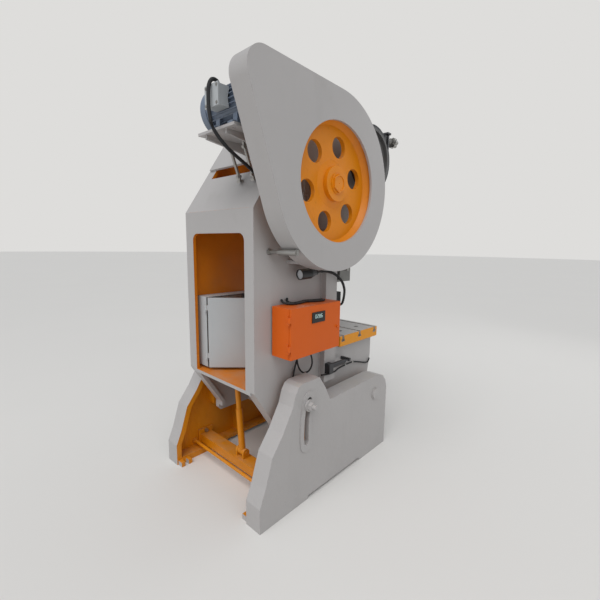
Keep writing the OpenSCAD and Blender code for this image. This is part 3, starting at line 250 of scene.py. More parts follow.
# Finishes
def settle_dust(finish, colour, amount=0.5):
    """Workshop dust on faces that look up, thinner where it has been wiped."""
    lying = finish.nz.rise(0.55, 0.95)
    patches = finish.noise(9.0, 5.0, 0.6).rise(0.35, 0.75)
    return finish.mix(lying * patches * amount, colour, DUST)


def enamel_coat(finish, colour, wear=0.5):
    """Colour and roughness of paint with soft mottling, grime streaks, rubbed edges and chips."""
    mottled = finish.noise(5.0, 4.0, 0.6)
    streaks = finish.noise(9.0, 4.0, 0.5, (1, 1, 0.16)).rise(0.55, 0.9)
    grime = finish.mix(streaks * 0.10, colour, srgb(96, 90, 84))
    smudged = finish.mix(mottled.rise(0.56, 0.86) * 0.12, grime, srgb(120, 112, 100))
    rubbed = (finish.edges(0.003) * finish.noise(38.0, 3.0).rise(0.46, 0.62) * wear).clamped()
    chips = (1 - finish.specks(34.0).rise(0.035, 0.06)) * finish.noise(4.0).rise(0.6, 0.72) * wear
    bare = finish.mix(rubbed.higher(chips), smudged, srgb(96, 92, 88))
    rough = 0.36 + mottled * 0.16 + rubbed * 0.2
    return bare, rough


def grey_casting():
    """Cast leg in grey enamel, the pocket on its inner side in orange."""
    finish = Finish("grey_casting")
    side = abs(finish.x)
    towards = (POCKET_MIDDLE.y - finish.y) * finish.ny + (POCKET_MIDDLE.z - finish.z) * finish.nz
    wall = (towards > 0.02) * (abs(finish.nx) < 0.5)
    low, high = CORE_Y
    core = abs(finish.y - (low + high) / 2) < (high - low) / 2
    core = core * (finish.z < CORE_Z[1]) * (finish.z > CORE_Z[0])
    inward = (finish.x * finish.nx < 0.0) * (abs(finish.nx) > 0.6)
    pocket = wall.higher(core).higher(inward) * (side < WEB_IN + 0.001) * (finish.z < DECK_Z)
    grey = finish.tint(ENAMEL_GREY, finish.noise(2.2, 3.0), 0.05)
    orange = finish.tint(LEG_ORANGE, finish.noise(7.0, 4.0), 0.14)
    coat, rough = enamel_coat(finish, finish.mix(pocket, grey, orange), 0.7)
    skin = finish.bump(finish.noise(34.0, 4.0, 0.6), 0.0022)
    skin = finish.bump(finish.noise(420.0, 2.0), 0.00035, skin)
    return finish.shade(settle_dust(finish, coat, 0.35), rough, skin, Specular_IOR_Level=0.35,
                        Coat_Weight=0.1, Coat_Roughness=0.3)


def grey_plate():
    """Welded body: grey enamel outside, orange inside from the throat to the rear sheet."""
    finish = Finish("grey_plate")
    out = (finish.y - SLOPE_FOOT.y) * SLOPE_OUT.y + (finish.z - SLOPE_FOOT.z) * SLOPE_OUT.z
    inside = (abs(finish.x) < PLATE_IN + 0.0006) * (finish.y < REAR_Y - 0.0006)
    inside = inside * (finish.y > THROAT_Y + 0.001) * (finish.z > FLOOR_Z - 0.0206) * (out < -0.0006)
    grey = finish.tint(ENAMEL_GREY, finish.noise(1.6, 3.0), 0.05)
    orange = finish.tint(INSIDE_ORANGE, finish.noise(6.0, 4.0), 0.12)
    coat, rough = enamel_coat(finish, finish.mix(inside, grey, orange), 0.45)
    skin = finish.bump(finish.noise(3.2, 2.0), 0.003)
    skin = finish.bump(finish.noise(380.0, 2.0), 0.00028, skin)
    return finish.shade(settle_dust(finish, coat, 0.3), rough, skin, Specular_IOR_Level=0.35,
                        Coat_Weight=0.1, Coat_Roughness=0.28)


def sheet_enamel(name, paint, shade_of=0.05, wear=0.4):
    """Enamel on folded or rolled sheet, smooth with a faint orange peel."""
    finish = Finish(name)
    coat, rough = enamel_coat(finish, finish.tint(paint, finish.noise(2.4, 3.0), shade_of), wear)
    skin = finish.bump(finish.noise(2.6, 2.0), 0.002)
    skin = finish.bump(finish.noise(460.0, 2.0), 0.0002, skin)
    return finish.shade(settle_dust(finish, coat, 0.5), rough, skin, Coat_Weight=0.22, Coat_Roughness=0.25)


def bar_paint():
    """Yellow bars between the legs, painted grey with the legs where their ends show outside."""
    finish = Finish("bar_paint")
    outside = abs(finish.x) > WEB_IN + 0.004
    yellow = finish.tint(BAR_YELLOW, finish.noise(6.0, 4.0), 0.12)
    coat, rough = enamel_coat(finish, finish.mix(outside, yellow, ENAMEL_GREY), 0.8)
    skin = finish.bump(finish.noise(34.0, 4.0, 0.6), 0.0012)
    return finish.shade(settle_dust(finish, coat, 0.3), rough, skin, Specular_IOR_Level=0.35,
                        Coat_Weight=0.08, Coat_Roughness=0.3)


def bolt_paint():
    """Bare bolts, their ends painted over on the outside of the legs."""
    finish = Finish("bolt_paint")
    outside = abs(finish.x) > WEB_IN + 0.004
    marks = finish.noise(240.0, 3.0)
    bare = finish.tint(BARE_STEEL, marks, 0.10)
    return finish.shade(finish.mix(outside, bare, ENAMEL_GREY), 0.34 + marks * 0.14,
                        finish.bump(marks, 0.0001), metal=(1 - outside) * 0.9)


def powder_coat(name, paint, grain=700.0):
    """Fine-textured powder coat, as on switch cabinets."""
    finish = Finish(name)
    worn = (finish.edges(0.0022) * finish.noise(46.0).rise(0.5, 0.66) * 0.35).clamped()
    base = finish.tint(paint, finish.noise(4.0, 3.0), 0.06)
    colour = finish.mix(worn, base, srgb(120, 110, 100))
    rough = 0.42 + finish.noise(18.0, 3.0) * 0.14
    return finish.shade(settle_dust(finish, colour, 0.35), rough,
                        finish.bump(finish.noise(grain, 2.0, 0.5), 0.0003),
                        Specular_IOR_Level=0.3, Coat_Weight=0.04, Coat_Roughness=0.35)


def wheel_enamel():
    """Thick glossy paint on the cast flywheel, bare at the belt face."""
    finish = Finish("wheel_enamel")
    away = ((finish.y - SHAFT.y) ** 2 + (finish.z - SHAFT.z) ** 2) ** 0.5
    rim = away.rise(BELT_FACE_R - 0.0005, BELT_FACE_R + 0.0005)
    colour = finish.tint(WHEEL_YELLOW, finish.noise(5.0, 4.0), 0.10)
    shaded = finish.mix(finish.noise(30.0, 4.0, 0.6).rise(0.55, 0.8) * 0.22, colour, srgb(126, 80, 10))
    coat, rough = enamel_coat(finish, finish.mix(rim, shaded, BARE_STEEL), 0.5)
    rings = finish.node("ShaderNodeTexNoise", {"noise_dimensions": "1D"},
                        {"W": away * 900.0, "Scale": 1.0, "Detail": 1.0})
    skin = finish.bump(finish.noise(60.0, 3.0), 0.0009)
    skin = finish.bump(Wire(finish, rings.outputs[0]), 0.00012, skin)
    return finish.shade(coat, rough, skin, Specular_IOR_Level=0.35, Coat_Weight=0.1, Coat_Roughness=0.22)


def table_finish():
    """Table plate: yellow sides, ground top and slots with oil film."""
    finish = Finish("table_finish")
    edge = (abs(finish.x) > TABLE_HALF[0]).higher(abs(finish.y - TABLE_Y) > TABLE_HALF[1])
    sides = (abs(finish.nz) < 0.5) * edge
    grind = finish.noise(120.0, 3.0, 0.6, (0.05, 1, 1))
    ground = finish.mix(grind, srgb(182, 178, 174), srgb(214, 210, 205))
    stained = finish.mix(finish.noise(7.0, 5.0, 0.65).rise(0.5, 0.8) * 0.30, ground, srgb(134, 122, 104))
    paint = finish.tint(srgb(222, 145, 14), finish.noise(6.0, 3.0), 0.10)
    rubbed = finish.edges(0.003) * finish.noise(50.0).rise(0.45, 0.6)
    scuffed = finish.mix(rubbed, paint, srgb(120, 104, 70))
    colour = finish.mix(sides, stained, scuffed)
    rough = 0.34 + finish.noise(40.0, 3.0) * 0.2
    return finish.shade(colour, rough, finish.bump(grind, 0.00015), metal=(1 - sides) * 0.45,
                        Specular_IOR_Level=0.4)


def machined(name, colour, rough=0.3, grain=(1, 1, 1), fine=240.0, oil=0.3):
    """Bare turned or milled metal with tool marks and a patchy oil film."""
    finish = Finish(name)
    marks = finish.noise(fine, 3.0, 0.6, grain)
    film = finish.noise(11.0, 4.0, 0.6).rise(0.45, 0.75)
    base = finish.tint(colour, marks, 0.10)
    oiled = finish.mix(film * oil, base, tuple(level * 0.45 for level in colour[:3]) + (1.0,))
    return finish.shade(oiled, rough + marks * 0.16 - film * 0.08, finish.bump(marks, 0.00012), metal=0.92)


def painted_shaft():
    """Turned drive shaft, painted over with the wheel at its outer end."""
    finish = Finish("painted_shaft")
    outer = finish.x < BARE_SHAFT_X
    marks = finish.noise(240.0, 3.0, 0.6, (0.1, 1, 1))
    bare = finish.tint(BARE_STEEL, marks, 0.10)
    paint = finish.tint(WHEEL_YELLOW, finish.noise(5.0, 4.0), 0.10)
    return finish.shade(finish.mix(outer, bare, paint), 0.3 + marks * 0.14, finish.bump(marks, 0.0001),
                        metal=(1 - outer) * 0.9)


def cast_surface(name, colour):
    """Raw casting with a sandy skin and broad patches of rust."""
    finish = Finish(name)
    sand = finish.noise(260.0, 4.0, 0.65)
    broad = finish.noise(9.0, 4.0, 0.6)
    base = finish.tint(colour, broad, 0.16)
    rusted = finish.mix(broad.rise(0.62, 0.85) * 0.3, base, srgb(112, 74, 46))
    return finish.shade(rusted, 0.46 + sand * 0.18, finish.bump(sand, 0.0006), metal=0.6)


def rubber(name, grain=(1, 1, 1)):
    """Black jacket, dusty on top, with a fine grain in its colour and roughness."""
    finish = Finish(name)
    fine = finish.noise(320.0, 3.0, 0.6, grain)
    dusty = finish.mix(finish.nz.rise(0.3, 0.9) * finish.noise(22.0).rise(0.4, 0.7) * 0.35,
                       SOFT_BLACK, srgb(92, 88, 80))
    return finish.shade(finish.mix(fine * 0.3, dusty, srgb(38, 38, 40)), 0.5 + fine * 0.2,
                        finish.bump(fine, 0.0002))


def moulded(name, colour, rough=0.42):
    """Moulded plastic with a fine spark-eroded grain."""
    finish = Finish(name)
    grain = finish.noise(600.0, 2.0)
    return finish.shade(finish.tint(colour, finish.noise(12.0, 3.0), 0.07), rough + grain * 0.12,
                        finish.bump(grain, 0.00012))


def window_glass():
    """Dark glossy window of the display, smeared by fingers."""
    finish = Finish("window_glass")
    smear = finish.noise(40.0, 5.0, 0.7).rise(0.45, 0.8)
    return finish.shade(finish.mix(smear * 0.4, srgb(10, 12, 14), srgb(26, 28, 30)), 0.08 + smear * 0.2)


def lamp_glass():
    """Ribbed clear lens over the lamp's reflector."""
    finish = Finish("lamp_glass")
    ribs = finish.node("ShaderNodeTexWave", {"wave_type": "BANDS", "bands_direction": "X"},
                       {"Vector": finish.place, "Scale": 90.0, "Distortion": 0.3})
    haze = finish.noise(60.0, 4.0)
    ridges = finish.bump(Wire(finish, ribs.outputs[1]), 0.0006)
    return finish.shade(finish.tint(srgb(222, 226, 230), haze, 0.05), 0.06 + haze * 0.12, ridges,
                        Transmission_Weight=0.15, IOR=1.45)


def lit_segment():
    """Lit bars of the counter's digits."""
    finish = Finish("lit_segment")
    glow = finish.tint(srgb(176, 206, 202), finish.noise(90.0), 0.15)
    return finish.shade(glow, 0.4, Emission_Color=glow, Emission_Strength=0.35)


FINISHES = {
    "casting": grey_casting(),
    "plate": grey_plate(),
    "cover": sheet_enamel("cover_enamel", ENAMEL_GREY),
    "bars": bar_paint(),
    "bolts": bolt_paint(),
    "wheel": wheel_enamel(),
    "box": powder_coat("box_coat", BOX_ORANGE, 620.0),
    "motor": sheet_enamel("motor_enamel", MOTOR_BLUE, 0.08, 0.6),
    "cabinet": powder_coat("cabinet_coat", CABINET_GREY),
    "table": table_finish(),
    "steel": machined("machined_steel", BARE_STEEL, 0.28, (0.1, 1, 1)),
    "shaft": painted_shaft(),
    "dark": machined("dark_steel", DARK_STEEL, 0.36, (1, 1, 1), 180.0, 0.5),
    "iron": cast_surface("cast_iron", CAST_IRON),
    "ground": machined("ground_iron", srgb(132, 131, 128), 0.3, (1, 1, 0.05), 160.0, 0.4),
    "bronze": machined("turned_bronze", BRONZE, 0.26, (0.1, 1, 1)),
    "rubber": rubber("cable_jacket"),
    "belt": rubber("belt_fabric", (0.2, 1, 1)),
    "lamp": sheet_enamel("lamp_enamel", SOFT_BLACK, 0.1, 0.5),
    "window": window_glass(),
    "plastic": moulded("device_plastic", srgb(206, 204, 196)),
    "glass": lamp_glass(),
    "digits": lit_segment(),
    "white": moulded("tie_plastic", srgb(226, 226, 220), 0.36),
}

NODE_FINISH = {
    "casting": ["leg_left", "leg_right"],
    "plate": ["c_frame"],
    "cover": ["pivot_pins", "lock_bolts", "crank_caps", "shaft_housings", "gear_cover", "belt_guard",
              "motor_plate"],
    "bars": ["tie_beam", "tie_rods", "strut_tube", "strut_screw"],
    "wheel": ["flywheel", "wheel_nut"],
    "shaft": ["drive_shaft"],
    "box": ["control_box", "control_door"],
    "motor": ["motor_body", "fan_cover"],
    "cabinet": ["cabinet", "cabinet_door", "terminal_box"],
    "table": ["bolster"],
    "bolts": ["tie_beam_bolts"],
    "steel": ["knockout_stops", "crankshaft", "brake_bolt",
              "clutch_hub", "pinion", "rod_bolts", "ball_screw",
              "shank_clamp", "knockout_bar", "studs", "motor_shaft"],
    "dark": ["frame_bolts", "brake_band", "brake_bracket", "trip_cylinder"],
    "iron": ["brake_drum", "bull_gear", "connecting_rod", "rod_cap", "motor_pulley"],
    "ground": ["gibs", "slide"],
    "bronze": ["crank_bushes", "shaft_bearings", "ball_seat"],
    "rubber": ["wiring"],
    "belt": ["v_belts"],
    "lamp": ["lamp_arm", "lamp_head"],
    "window": ["display"],
    "plastic": ["switchgear"],
    "glass": ["lamp_lens"],
}


def paint_nodes():
    for finish, nodes in NODE_FINISH.items():
        for name in nodes:
            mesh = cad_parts[name].data
            mesh.materials.clear()
            mesh.materials.append(FINISHES[finish])


# Making pieces
def add_piece(name, mesh, finish, body):
    """A finished piece in the row's frame that rides on a body."""
    mesh.materials.clear()
    mesh.materials.append(FINISHES[finish])
    piece = bpy.data.objects.new(name, mesh)
    bpy.context.scene.collection.objects.link(piece)
    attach(piece, body)
    return piece


def smooth_route(points, steps):
    """A smooth line through given points."""
    line = []
    for i in range(len(points) - 1):
        a, b, c, d = (Vector(points[min(max(k, 0), len(points) - 1)]) for k in range(i - 1, i + 3))
        for k in range(steps):
            t = k / steps
            line.append(0.5 * (2 * b + (c - a) * t + (2 * a - 5 * b + 4 * c - d) * t * t
                               + (3 * b - a - 3 * c + d) * t ** 3))
    return line + [Vector(points[-1])]


def route_length(line):
    return sum((b - a).length for a, b in zip(line, line[1:]))


def even_steps(line, reach, step):
    """Points at an even spacing along the first stretch of a line."""
    places, gone, target = [line[0].copy()], 0.0, step
    for a, b in zip(line, line[1:]):
        part = (b - a).length
        while target <= gone + part and target <= reach + 1e-6:
            places.append(a.lerp(b, (target - gone) / part))
            target += step
        gone += part
    return places


def strain_relief(name, line, long=0.030, wide=0.0096, narrow=0.0064, groove=0.0007):
    """Ribbed rubber sleeve that tapers down along the start of a cable."""
    places = even_steps(line, long, 0.0015)
    sides = 24
    bm = bmesh.new()
    rings = []
    for k, place in enumerate(places):
        ahead = places[min(k + 1, len(places) - 1)] - places[max(k - 1, 0)]
        turn = ahead.to_track_quat("Z", "Y")
        radius = wide + (narrow - wide) * k / (len(places) - 1) - (groove if k % 4 == 2 else 0)
        rings.append([bm.verts.new(place + turn @ Vector((radius * math.cos(a), radius * math.sin(a), 0)))
                      for a in (2 * math.pi * i / sides for i in range(sides))])
    for near, far in zip(rings, rings[1:]):
        for i in range(sides):
            bm.faces.new((near[i], near[(i + 1) % sides], far[(i + 1) % sides], far[i]))
    bm.faces.new(rings[0])
    bm.faces.new(rings[-1])
    bmesh.ops.recalc_face_normals(bm, faces=bm.faces)
    mesh = bpy.data.meshes.new(name)
    bm.to_mesh(mesh)
    bm.free()
    return add_piece(name, mesh, "rubber", "press_body")


def hang_cable(name, node, points, radius):
    """A free cable between two points of the body, as a round curve."""
    line = smooth_route([[level / 1000 for level in point] for point in points], 6)
    curve = bpy.data.curves.new(name, "CURVE")
    curve.dimensions = "3D"
    curve.bevel_depth = radius
    curve.bevel_resolution = 4
    curve.use_fill_caps = True
    spline = curve.splines.new("POLY")
    spline.points.add(len(line) - 1)
    for point, place in zip(spline.points, line):
        point.co = (*place, 1.0)
    curve.materials.append(FINISHES["rubber"])
    cable = bpy.data.objects.new(name, curve)
    bpy.context.scene.collection.objects.link(cable)
    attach(cable, "press_body")
    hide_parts(node)
    sleeves = [strain_relief(name + "_relief_near", line), strain_relief(name + "_relief_far", line[::-1])]
    route_length(line)


# Cable routes in millimetres, as the solids have them
LOOP_ROUTE = [(-372, 120, 906), (-372, 116, 877.5), (-372, 107, 850), (-372, 98.5, 822.5),
              (-372, 98.5, 794), (-372, 112, 768.5), (-372, 137, 754.5), (-372, 174.5, 757.5),
              (-372, 199, 772.5), (-372, 217.5, 794.5), (-372, 230, 820.5), (-372, 237.5, 848.5),
              (-372, 241, 877), (-372, 242, 906)]
DROP_ROUTE = [(-354, 214, 906), (-354, 215, 880), (-354, 221, 850), (-354, 232, 818), (-354, 244, 785),
              (-354, 252, 752), (-351, 256, 730), (-341, 258, 710)]


# Geometry trees
def tree_socket(tree, name, kind, value):
    socket = tree.interface.new_socket(name, in_out="INPUT", socket_type=kind)
    socket.default_value = value
    return socket.identifier


def tree_node(tree, kind, settings=None, values=None):
    made = tree.nodes.new(kind)
    for key, setting in (settings or {}).items():
        setattr(made, key, setting)
    for key, value in (values or {}).items():
        if isinstance(value, bpy.types.NodeSocket):
            tree.links.new(value, made.inputs[key])
        else:
            made.inputs[key].default_value = value
    return made


def times(tree, socket, factor):
    """A tree's size multiplied by a plain number."""
    made = tree_node(tree, "ShaderNodeMath", {"operation": "MULTIPLY"}, {0: socket, 1: factor})
    return made.outputs[0]


def new_tree(name):
    tree = bpy.data.node_groups.new(name, "GeometryNodeTree")
    tree.interface.new_socket("Geometry", in_out="INPUT", socket_type="NodeSocketGeometry")
    tree.interface.new_socket("Geometry", in_out="OUTPUT", socket_type="NodeSocketGeometry")
    return tree


def close_tree(tree, geometry, finish):
    """Ends a tree with real geometry in one finish."""
    real = tree_node(tree, "GeometryNodeRealizeInstances", {}, {0: geometry})
    painted = tree_node(tree, "GeometryNodeSetMaterial", {}, {0: real.outputs[0], 2: FINISHES[finish]})
    tree_node(tree, "NodeGroupOutput", {}, {0: painted.outputs[0]})


def grow(name, seed_mesh, tree, inputs, finish, body):
    """Runs a geometry tree on a seed mesh and keeps the result as a plain mesh."""
    seed = bpy.data.objects.new(name + "_seed", seed_mesh)
    bpy.context.scene.collection.objects.link(seed)
    modifier = seed.modifiers.new("tree", "NODES")
    modifier.node_group = tree
    for identifier, value in inputs.items():
        modifier[identifier] = value
    graph = bpy.context.evaluated_depsgraph_get()
    mesh = bpy.data.meshes.new_from_object(seed.evaluated_get(graph))
    seed.modifiers.remove(modifier)
    bpy.data.objects.remove(seed)
    mesh.name = name
    return add_piece(name, mesh, finish, body)


def line_mesh(name, points):
    mesh = bpy.data.meshes.new(name)
    mesh.from_pydata(points, [(i, i + 1) for i in range(len(points) - 1)], [])
    return mesh


def facing_points(name, places):
    """Loose points that each store the way they face."""
    mesh = bpy.data.meshes.new(name)
    mesh.from_pydata([place for place, _ in places], [], [])
    facing = mesh.attributes.new("facing", "FLOAT_VECTOR", "POINT")
    for item, (_, way) in zip(facing.data, places):
        item.vector = way
    return mesh


def ring_tree():
    """Rings threaded on a line at an even spacing."""
    tree = new_tree("rings_on_line")
    spacing = tree_socket(tree, "Spacing", "NodeSocketFloat", 0.006)
    ring = tree_socket(tree, "Ring radius", "NodeSocketFloat", 0.008)
    wire = tree_socket(tree, "Wire radius", "NodeSocketFloat", 0.002)
    given = tree_node(tree, "NodeGroupInput")
    line = tree_node(tree, "GeometryNodeMeshToCurve", {}, {0: given.outputs["Geometry"]})
    even = tree_node(tree, "GeometryNodeCurveToPoints", {"mode": "LENGTH"},
                     {"Curve": line.outputs[0], "Length": given.outputs["Spacing"]})
    loop = tree_node(tree, "GeometryNodeCurvePrimitiveCircle", {},
                     {"Resolution": 20, "Radius": given.outputs["Ring radius"]})
    section = tree_node(tree, "GeometryNodeCurvePrimitiveCircle", {},
                        {"Resolution": 6, "Radius": given.outputs["Wire radius"]})
    torus = tree_node(tree, "GeometryNodeCurveToMesh", {}, {0: loop.outputs[0], 1: section.outputs[0]})
    placed = tree_node(tree, "GeometryNodeInstanceOnPoints", {},
                       {"Points": even.outputs["Points"], "Instance": torus.outputs[0],
                        "Rotation": even.outputs["Rotation"]})
    close_tree(tree, placed.outputs[0], "lamp")
    return tree, spacing, ring, wire


def screw_tree():
    """Hexagon or round heads with a washer, set on points along their facing."""
    tree = new_tree("heads_on_points")
    size = tree_socket(tree, "Head radius", "NodeSocketFloat", 0.006)
    tall = tree_socket(tree, "Head height", "NodeSocketFloat", 0.004)
    sides = tree_socket(tree, "Sides", "NodeSocketInt", 6)
    given = tree_node(tree, "NodeGroupInput")
    head = tree_node(tree, "GeometryNodeMeshCone", {},
                     {"Vertices": given.outputs["Sides"], "Radius Bottom": given.outputs["Head radius"],
                      "Radius Top": times(tree, given.outputs["Head radius"], 0.86),
                      "Depth": given.outputs["Head height"]})
    washer = tree_node(tree, "GeometryNodeMeshCylinder", {},
                       {"Vertices": 20, "Radius": times(tree, given.outputs["Head radius"], 1.45),
                        "Depth": times(tree, given.outputs["Head height"], 0.28)})
    both = tree_node(tree, "GeometryNodeJoinGeometry")
    tree.links.new(head.outputs["Mesh"], both.inputs[0])
    tree.links.new(washer.outputs["Mesh"], both.inputs[0])
    way = tree_node(tree, "GeometryNodeInputNamedAttribute", {"data_type": "FLOAT_VECTOR"},
                    {"Name": "facing"})
    turn = tree_node(tree, "FunctionNodeAlignRotationToVector", {"axis": "Z"}, {"Vector": way.outputs[0]})
    points = tree_node(tree, "GeometryNodeMeshToPoints", {}, {0: given.outputs["Geometry"]})
    placed = tree_node(tree, "GeometryNodeInstanceOnPoints", {},
                       {"Points": points.outputs[0], "Instance": both.outputs[0],
                        "Rotation": turn.outputs[0]})
    close_tree(tree, placed.outputs[0], "steel")
    return tree, size, tall, sides


def bead_tree():
    """Overlapping drops along a line, as a hand-laid weld."""
    tree = new_tree("weld_on_line")
    size = tree_socket(tree, "Bead radius", "NodeSocketFloat", 0.004)
    given = tree_node(tree, "NodeGroupInput")
    line = tree_node(tree, "GeometryNodeMeshToCurve", {}, {0: given.outputs["Geometry"]})
    even = tree_node(tree, "GeometryNodeCurveToPoints", {"mode": "LENGTH"},
                     {"Curve": line.outputs[0], "Length": times(tree, given.outputs["Bead radius"], 1.1)})
    drop = tree_node(tree, "GeometryNodeMeshIcoSphere", {},
                     {"Radius": given.outputs["Bead radius"], "Subdivisions": 2})
    uneven = tree_node(tree, "FunctionNodeRandomValue", {"data_type": "FLOAT"},
                       {2: 0.82, 3: 1.12, "Seed": 7})
    placed = tree_node(tree, "GeometryNodeInstanceOnPoints", {},
                       {"Points": even.outputs["Points"], "Instance": drop.outputs[0],
                        "Rotation": even.outputs["Rotation"], "Scale": uneven.outputs[1]})
    close_tree(tree, placed.outputs[0], "cover")
    return tree, size


# Small parts
NECK = [(-364, -156, 1172), (-372, -168, 1152), (-388, -182, 1158), (-398, -188, 1205), (-402, -184, 1260),
        (-408, -140, 1318), (-412, -60, 1366), (-416, 40, 1389), (-418, 122, 1385)]
CONDUIT = [(-276, 700, 2282), (-276, 712, 2302), (-276, 738, 2300), (-276, 756, 2270), (-276, 760, 2220),
           (-278, 758, 2150), (-284, 740, 2080), (-292, 670, 2010), (-296, 560, 1950), (-296, 480, 1905)]


def in_metres(points):
    return [tuple(level / 1000 for level in point) for point in points]


def flexible_ribs():
    """Ribs of the lamp's gooseneck and of the motor's conduit."""
    tree, spacing, ring, wire = ring_tree()
    neck = line_mesh("neck_line", smooth_route(in_metres(NECK), 5)[3:-3])
    grow("gooseneck_ribs", neck, tree, {spacing: 0.0042, ring: 0.0071, wire: 0.0017},
         "lamp", "press_body")
    conduit = line_mesh("conduit_line", smooth_route(in_metres(CONDUIT), 5)[2:])
    grow("conduit_ribs", conduit, tree, {spacing: 0.0052, ring: 0.0073, wire: 0.0016},
         "rubber", "press_body")


def small_screws():
    """Screws of the terminal box and the fan cover, and the terminal rows in the cabinet."""
    tree, size, tall, sides = screw_tree()

    def set_heads(name, places, radius, height, corners):
        grow(name, facing_points(name, places), tree, {size: radius, tall: height, sides: corners},
             "steel", "press_body")

    left, rear = (-1, 0, 0), (0, 1, 0)
    lid = [((x, LID_Y, z), rear) for x in LID_X for z in LID_Z]
    set_heads("terminal_screws", lid, 0.005, 0.0035, 16)
    outward = [Vector((0, math.cos(math.radians(a)), math.sin(math.radians(a)))) for a in (30, 150, 270)]
    rim = [(Vector((FAN_X, MOTOR.y, MOTOR.z)) + FAN_R * way, way) for way in outward]
    set_heads("fan_screws", rim, 0.005, 0.004, 6)
    rows = [((DEVICE_X, y + 0.014 + 0.014 * k, z + end), left) for y in DEVICE_Y for z in DEVICE_Z
            for k in range(4) for end in (0.010, 0.070)]
    set_heads("terminal_rows", rows, 0.0034, 0.0025, 10)


def welds():
    """Fillet welds of the throat strip and the rear flange on the side plates."""
    tree, size = bead_tree()
    seam = [(-0.0152, 1.646), (-0.0152, 0.645), (-0.016, 0.6385), (-0.130, 0.6385)]
    for name, side in (("welds_left", -1), ("welds_right", 1)):
        points = [(side * (BODY_HALF + 0.002), y, z) for y, z in seam]
        grow(name, line_mesh(name, points), tree, {size: 0.0045}, "cover", "press_body")


# Bars of a seven-segment figure that are lit
SEGMENTS = {"0": "abcdef", "2": "abged", "6": "afgcde", "8": "abcdefg"}


def digit_bars(bm, text, y0, z0, high):
    """Seven-segment figures, read from the left by someone facing the box."""
    wide, bar = high * 0.5, high * 0.13
    half = high / 2
    spots = {"a": (0, high, 1), "g": (0, half, 1), "d": (0, 0, 1),
             "f": (-wide / 2, half * 1.5, 0), "b": (wide / 2, half * 1.5, 0),
             "e": (-wide / 2, half * 0.5, 0), "c": (wide / 2, half * 0.5, 0)}
    for count, figure in enumerate(text):
        middle = y0 - count * wide * 1.75
        for key in SEGMENTS[figure]:
            across, up, flat = spots[key]
            length = wide * 0.8 if flat else half * 0.82
            size = Vector((0.0006, length if flat else bar, bar if flat else length))
            made = bmesh.ops.create_cube(bm, size=1.0)["verts"]
            bmesh.ops.scale(bm, vec=size, verts=made)
            bmesh.ops.translate(bm, vec=Vector((BOX_FRONT - 0.0045, middle - across, z0 + up)), verts=made)


def counter_figures():
    """One row of generic figures in the display's window."""
    (low, high), (bottom, top) = DOOR_WINDOW
    tall = 0.020
    first = (low + high) / 2 + tall * 1.31
    bm = bmesh.new()
    digit_bars(bm, "0286", first, (bottom + top) / 2 - tall / 2 + 0.006, tall)
    mesh = bpy.data.meshes.new("counter_figures")
    bm.to_mesh(mesh)
    bm.free()
    add_piece("counter_figures", mesh, "digits", "box_door")


def cable_ties():
    """White ties that hold the hose against the body."""
    tree, spacing, ring, wire = ring_tree()
    for name, y, z in (("hose_tie_rear", -0.300, 0.685), ("hose_tie_front", -0.390, 0.687)):
        spot = line_mesh(name, [(-0.348, y, z), (-0.348, y - 0.004, z)])
        grow(name, spot, tree, {spacing: 0.0035, ring: 0.0064, wire: 0.0012},
             "white", "press_body")


# Studio
def softbox(name, place, aim, size, watts):
    light = bpy.data.lights.new(name, "AREA")
    light.shape = "RECTANGLE"
    light.size, light.size_y = size
    light.energy = watts
    lamp = bpy.data.objects.new(name, light)
    lamp.location = place
    lamp.rotation_euler = (Vector(aim) - Vector(place)).to_track_quat("-Z", "Y").to_euler()
    bpy.context.scene.collection.objects.link(lamp)


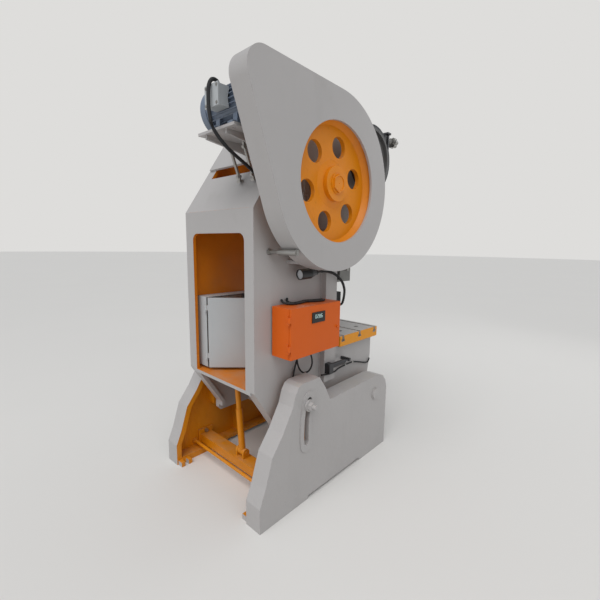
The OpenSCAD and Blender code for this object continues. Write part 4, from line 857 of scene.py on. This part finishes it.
def build_studio():
    """Pale floor that runs into a pale surround, under broad soft light from above and behind."""
    bpy.ops.mesh.primitive_circle_add(vertices=96, radius=60, fill_type="NGON", location=(0, 0, -0.0005))
    floor = bpy.context.object
    floor.name = "floor"
    ground = Finish("studio_floor")
    floor_paint = ground.tint(srgb(214, 212, 209), ground.noise(0.6), 0.015)
    floor.data.materials.append(ground.shade(floor_paint, 0.85))
    world = bpy.context.scene.world or bpy.data.worlds.new("world")
    bpy.context.scene.world = world
    world.use_nodes = True
    tree = world.node_tree
    tree.nodes.clear()
    path = tree.nodes.new("ShaderNodeLightPath")
    seen = tree.nodes.new("ShaderNodeMath")
    seen.operation = "MAXIMUM"
    tree.links.new(path.outputs["Is Camera Ray"], seen.inputs[0])
    tree.links.new(path.outputs["Is Transmission Ray"], seen.inputs[1])
    surround = tree.nodes.new("ShaderNodeBackground")
    surround.inputs[0].default_value = srgb(222, 221, 219)
    ambient = tree.nodes.new("ShaderNodeBackground")
    ambient.inputs[0].default_value = (0.94, 0.97, 1.0, 1.0)
    ambient.inputs[1].default_value = 0.46
    either = tree.nodes.new("ShaderNodeMixShader")
    tree.links.new(seen.outputs[0], either.inputs[0])
    tree.links.new(ambient.outputs[0], either.inputs[1])
    tree.links.new(surround.outputs[0], either.inputs[2])
    out = tree.nodes.new("ShaderNodeOutputWorld")
    tree.links.new(either.outputs[0], out.inputs[0])
    roof = bpy.data.lights.new("roof_light", "SUN")
    roof.energy = 1.75
    roof.angle = math.radians(50)
    above = bpy.data.objects.new("roof_light", roof)
    above.rotation_euler = Vector((-0.22, 0.50, 0.84)).to_track_quat("Z", "Y").to_euler()
    bpy.context.scene.collection.objects.link(above)
    # Boxes stand to the flywheel's side, behind and in front of the press
    softbox("left_box", (-4.6, 1.4, 3.6), (0, 0, 1.4), (2.6, 3.2), 26)
    softbox("rear_box", (1.8, 5.2, 3.0), (0, 0, 1.1), (3.0, 2.6), 20)
    softbox("front_box", (-1.5, -5.0, 3.4), (0, 0, 1.2), (3.0, 2.6), 20)


def main():
    point_camera()
    hang_cable("loop_cable_jacket", "loop_cable", LOOP_ROUTE, 0.0055)
    hang_cable("drop_cable_jacket", "drop_cable", DROP_ROUTE, 0.0055)
    paint_nodes()
    flexible_ribs()
    small_screws()
    welds()
    counter_figures()
    cable_ties()
    build_studio()
    bpy.context.scene.view_settings.view_transform = "Standard"


main()
